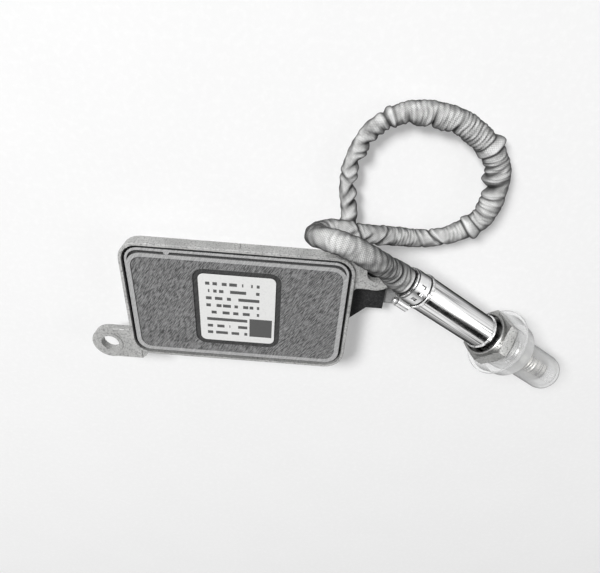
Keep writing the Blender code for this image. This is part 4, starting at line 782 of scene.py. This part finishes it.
def cable_mesh(look):
    """The cable's line, its length and its crinkled sleeve as a closed mesh."""
    end = PROBE_REAR - PROBE_AHEAD * CABLE_END_GAP
    points = np.array([*ROUTE, tuple(end)])
    dense = smooth_route(points, np.array((0.0, 1.0, 0.0)), np.array(PROBE_AHEAD))
    line, length = even_steps(dense, look.rings + 1)
    ahead = np.gradient(line, axis=0)
    ahead /= np.linalg.norm(ahead, axis=1)[:, None]
    side = np.zeros_like(ahead)
    side[0] = (1.0, 0.0, 0.0)
    for i in range(1, len(line)):
        carried = side[i - 1] - ahead[i] * np.dot(side[i - 1], ahead[i])
        side[i] = carried / np.linalg.norm(carried)
    over = np.cross(ahead, side)
    inward = np.array(LOOP_CENTRE) - line
    inward -= ahead * np.sum(inward * ahead, axis=1)[:, None]
    inward /= np.linalg.norm(inward, axis=1)[:, None]
    angle = np.linspace(0.0, 2 * np.pi, look.around, endpoint=False)[None, :]
    out = side[:, None, :] * np.cos(angle)[..., None] + over[:, None, :] * np.sin(angle)[..., None]
    inner = np.einsum("ijk,ik->ij", out, inward)
    place = np.linspace(0.0, length, len(line))[:, None] / MM
    radius, dark, light = cable_radius(place, angle, inner, look.crinkle)
    spots = line[:, None, :] + out * radius[..., None] * MM
    bm = bmesh.new()
    fold = bm.verts.layers.float.new("fold")
    crest = bm.verts.layers.float.new("crest")
    threads = bm.loops.layers.uv.new("UVMap")
    bmesh.ops.create_grid(bm, x_segments=look.rings, y_segments=look.around, size=0.5)
    # Whole pairs of threads round the cable, so that the weave closes at its seam
    around = round(math.pi * CABLE_DIAMETER / look.thread / 2)
    run = length / look.thread / 2
    for face in bm.faces:
        for loop in face.loops:
            loop[threads].uv = (loop.vert.co.x + 0.5) * run, (loop.vert.co.y + 0.5) * around
    for vert in bm.verts:
        i = round((vert.co.x + 0.5) * look.rings)
        j = round((vert.co.y + 0.5) * look.around) % look.around
        vert.co = spots[i, j]
        # Painted shade and painted highlight, kept on the points for the sleeve's material
        vert[fold] = dark[i, j]
        vert[crest] = light[i, j]
    bmesh.ops.remove_doubles(bm, verts=bm.verts, dist=1e-7)
    open_edges = [e for e in bm.edges if e.is_boundary]
    bmesh.ops.holes_fill(bm, edges=open_edges, sides=0)
    bmesh.ops.recalc_face_normals(bm, faces=bm.faces)
    return line, length, bm


class SENSOR_OT_camera(bpy.types.Operator):
    """Place the camera over the object"""

    bl_idname = "sensor.camera"
    bl_label = "Camera"

    def execute(self, context):
        lens = bpy.data.cameras.new("camera")
        lens.sensor_fit = "HORIZONTAL"
        lens.sensor_width = 36.0
        lens.lens = CAMERA_LENS
        lens.clip_start = 0.01
        lens.clip_end = 20.0
        camera = bpy.data.objects.new("camera", lens)
        context.scene.collection.objects.link(camera)
        place = Matrix((CAMERA_RIGHT, CAMERA_UP, CAMERA_BACK)).transposed().to_4x4()
        place.translation = CAMERA_PLACE
        camera.matrix_world = place
        context.scene.camera = camera
        return {"FINISHED"}


class SENSOR_OT_finishes(bpy.types.Operator):
    """Make every material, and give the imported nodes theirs"""

    bl_idname = "sensor.finishes"
    bl_label = "Finishes"

    def execute(self, context):
        FINISHES.update(make_finishes())
        slots = [part["slot"] for part in frame["record"]["materials"]]
        given = {slot: FINISHES[slot] for slot in slots}
        for node in frame["nodes"].values():
            for spot in node.material_slots:
                name = spot.material.name.split(".")[0]
                if name not in given:
                    raise RuntimeError(f"no finish for {name} on {node.name}")
                spot.material = given[name]
        return {"FINISHED"}


class SENSOR_OT_cable(bpy.types.Operator):
    """Build the textile-sleeved cable along its route"""

    bl_idname = "sensor.cable"
    bl_label = "Cable"

    def execute(self, context):
        line, length, bm = cable_mesh(context.scene.sensor_cable)
        cable = link_mesh("sleeved_cable", bm, 75.0)
        dress(cable, "sensor", "sleeve_textile", "cable_sleeve")
        return {"FINISHED"}


class SENSOR_OT_box(bpy.types.Operator):
    """Build the cast base, the lid and the label"""

    bl_idname = "sensor.box"
    bl_label = "Control box"

    def execute(self, context):
        edge = context.scene.sensor_box.edge
        refined("housing_base", "cast_base", "sensor", "cast_aluminium", edge, 2, 40.0)
        refined("housing_lid", "box_lid", "sensor", "dark_lid_plastic", 0.16 * MM, 2, 40.0)
        refined("label", "label_sheet", "sensor", "label_film", 0.08 * MM, 1, 40.0)
        return {"FINISHED"}


class SENSOR_OT_connector(bpy.types.Operator):
    """Build the connector's housing, its grey insert and the rubber grommet"""

    bl_idname = "sensor.connector"
    bl_label = "Connector"

    def execute(self, context):
        refined("connector_housing", "connector_shell", "sensor", "connector_plastic", 0.25 * MM)
        refined("connector_collar", "connector_insert", "sensor", "collar_plastic", 0.15 * MM)
        refined("cable_grommet", "entry_grommet", "sensor", "black_rubber", 0.2 * MM)
        return {"FINISHED"}


class SENSOR_OT_sleeve(bpy.types.Operator):
    """Build the steel sleeve, its clamp band and pin, and the turned body"""

    bl_idname = "sensor.sleeve"
    bl_label = "Probe sleeve"

    def execute(self, context):
        refined("probe_sleeve", "steel_sleeve", "sensor", "tube_steel", 0.15 * MM, 2, 28.0)
        refined("clamp_band", "clamp_strap", "sensor", "band_steel", 0.1 * MM, 2, 40.0)
        refined("clamp_pin", "strap_pin", "sensor", "screw_steel", 0.1 * MM, 2, 50.0)
        refined("probe_body", "turned_body", "sensor", "tube_steel", 0.15 * MM, 2, 28.0)
        return {"FINISHED"}


class SENSOR_OT_nut(bpy.types.Operator):
    """Build the swivel nut and cut its thread"""

    bl_idname = "sensor.nut"
    bl_label = "Swivel nut"

    def execute(self, context):
        bm = node_copy("swivel_nut")
        shrink = THREAD_CORE / THREAD_CREST
        for vert in bm.verts:
            along, away = station(vert.co)
            if (along > THREAD_START - THREAD_RELIEF
                    and THREAD_SHANK[0] < away < THREAD_SHANK[1]):
                middle = PROBE_REAR + PROBE_AHEAD * along
                vert.co = middle + (vert.co - middle) * shrink
        edged(bm, "swivel_nut", "hex_nut", "nut", "nut_steel", NUT_EDGE, 2, 28.0)
        self.thread(context.scene.sensor_probe.thread_steps)
        return {"FINISHED"}

    def thread(self, steps):
        """The thread's ridge, spun round the nut's smooth core."""
        turns = (THREAD_END - THREAD_START) / THREAD_PITCH
        bm = bmesh.new()
        start = PROBE_REAR + PROBE_AHEAD * THREAD_START
        foot = THREAD_CORE - THREAD_SINK
        corners = ((foot, -THREAD_FOOT), (THREAD_CREST, -THREAD_TOP),
                   (THREAD_CREST, THREAD_TOP), (foot, THREAD_FOOT))
        ridge = bm.faces.new([bm.verts.new(start + PROBE_SIDE * out + PROBE_AHEAD * rise)
                              for out, rise in corners])
        count = round(turns * steps)
        bmesh.ops.spin(bm, geom=[ridge, *ridge.edges, *ridge.verts], cent=PROBE_REAR,
                       axis=PROBE_AHEAD, angle=turns * 2 * math.pi, steps=count,
                       dvec=PROBE_AHEAD * (THREAD_PITCH / steps), use_merge=False)
        bmesh.ops.remove_doubles(bm, verts=bm.verts, dist=1e-7)
        bmesh.ops.recalc_face_normals(bm, faces=bm.faces)
        dress(link_mesh("nut_thread", bm), "nut", "nut_steel")


class SENSOR_OT_cap(bpy.types.Operator):
    """Build the pale transport cap"""

    bl_idname = "sensor.cap"
    bl_label = "Transport cap"

    def execute(self, context):
        refined("transport_cap", "travel_cap", "cap", "cap_plastic", 0.3 * MM, 3, 28.0)
        return {"FINISHED"}


class SENSOR_OT_stage(bpy.types.Operator):
    """Lay the pale floor and set the soft lights"""

    bl_idname = "sensor.stage"
    bl_label = "Stage"

    def execute(self, context):
        look = context.scene.sensor_stage
        bm = bmesh.new()
        bmesh.ops.create_grid(bm, x_segments=8, y_segments=8, size=FLOOR_HALF)
        bmesh.ops.translate(bm, verts=bm.verts, vec=(0.0, 0.0, -FLOOR_DROP))
        floor = link_mesh("floor", bm)
        floor.data.materials.append(self.floor_paper(look))
        self.lamp("key", KEY_PLACE, KEY_SIZE, look.key)
        self.lamp("fill", FILL_PLACE, FILL_SIZE, look.fill)
        self.card()
        self.surroundings(context.scene, look)
        context.scene.view_settings.view_transform = "Standard"
        return {"FINISHED"}

    def floor_paper(self, look):
        """Pale floor that keeps the shadow and shows a little brighter than it is lit."""
        made, tree, shader = start_material("pale_floor", specular_ior_level=0.1)
        place = object_place(tree)
        grain = effect(tree, "grain", {"Vector": place, "Colour": look.floor, "Speck": shade(0.72),
                                       "Scale": 400.0, "Amount": 0.25, "Roughness": 0.9})
        tree.links.new(grain["Colour"], shader.inputs["Base Color"])
        tree.links.new(grain["Roughness"], shader.inputs["Roughness"])
        shader.inputs["Emission Color"].default_value = (1.0, 1.0, 1.0, 1.0)
        glow = calc(tree, "MULTIPLY", seen_rays(tree), FLOOR_GLOW)
        tree.links.new(glow, shader.inputs["Emission Strength"])
        return made

    def card(self):
        """A dark card beside the camera, seen only in the bright steel."""
        bm = bmesh.new()
        bmesh.ops.create_grid(bm, x_segments=2, y_segments=2, size=0.5)
        bmesh.ops.scale(bm, verts=bm.verts, vec=(*CARD_SIZE, 1.0))
        bmesh.ops.transform(bm, verts=bm.verts, matrix=self.card_place())
        card = link_mesh("dark_card", bm)
        card.data.materials.append(FINISHES["black_sealant"])
        card.visible_camera = False
        card.visible_diffuse = False
        card.visible_transmission = False
        card.visible_shadow = False

    def card_place(self):
        """Where the sleeve mirrors the card a little below the sleeve's middle line."""
        middle = PROBE_REAR + PROBE_AHEAD * CARD_STATION
        view = (Vector(CAMERA_PLACE) - middle).normalized()
        flat = (view - PROBE_AHEAD * view.dot(PROBE_AHEAD)).normalized()
        low = PROBE_AHEAD.cross(flat)
        normal = flat * math.cos(CARD_TURN) + low * math.sin(CARD_TURN)
        toward = normal * (2 * view.dot(normal)) - view
        long = (PROBE_AHEAD - toward * PROBE_AHEAD.dot(toward)).normalized()
        place = Matrix((long, toward.cross(long), toward)).transposed().to_4x4()
        place.translation = middle + toward * CARD_AWAY
        return place

    def lamp(self, name, place, size, power):
        """A square soft lamp that faces the object."""
        light = bpy.data.lights.new(name, "AREA")
        light.shape = "SQUARE"
        light.size = size
        light.energy = power
        lamp = bpy.data.objects.new(name, light)
        bpy.context.scene.collection.objects.link(lamp)
        away = Vector(place) - Vector(LAMP_AIM)
        turn = away.to_track_quat("Z", "Y").to_matrix().to_4x4()
        turn.translation = place
        lamp.matrix_world = turn

    def surroundings(self, scene, look):
        """Even pale surroundings: a weak light all round, and white where it is seen."""
        world = bpy.data.worlds.new("studio")
        world.use_nodes = True
        scene.world = world
        tree = world.node_tree
        strength = spread(tree, seen_rays(tree), 0.0, 1.0, look.sky, 1.0)
        tree.nodes["Background"].inputs["Color"].default_value = (1.0, 1.0, 1.0, 1.0)
        tree.links.new(strength, tree.nodes["Background"].inputs["Strength"])


class SENSOR_PT_panel(bpy.types.Panel):
    """Sizes, colours and the steps in order"""

    bl_idname = "SENSOR_PT_panel"
    bl_label = "Nitrogen oxide sensor"
    bl_space_type = "VIEW_3D"
    bl_region_type = "UI"
    bl_category = "Sensor"

    def draw(self, context):
        for name, settings in SETTINGS.items():
            box = self.layout.box()
            for key in settings.__annotations__:
                box.prop(getattr(context.scene, name), key)
        for step in STEPS:
            self.layout.operator(step.bl_idname)


SETTINGS = {"sensor_cable": SensorCable, "sensor_box": SensorBox, "sensor_probe": SensorProbe,
            "sensor_stage": SensorStage}
STEPS = (SENSOR_OT_camera, SENSOR_OT_finishes, SENSOR_OT_cable, SENSOR_OT_box, SENSOR_OT_connector,
         SENSOR_OT_sleeve, SENSOR_OT_nut, SENSOR_OT_cap, SENSOR_OT_stage)


def register():
    for made in (*SETTINGS.values(), *STEPS, SENSOR_PT_panel):
        bpy.utils.register_class(made)
    for name, settings in SETTINGS.items():
        setattr(bpy.types.Scene, name, PointerProperty(type=settings))


def unregister():
    for name in SETTINGS:
        delattr(bpy.types.Scene, name)
    for made in reversed((*SETTINGS.values(), *STEPS, SENSOR_PT_panel)):
        bpy.utils.unregister_class(made)


def main():
    """Build everything in order."""
    register()
    for step in STEPS:
        family, name = step.bl_idname.split(".")
        getattr(getattr(bpy.ops, family), name)()


if __name__ == "__main__":
    main()
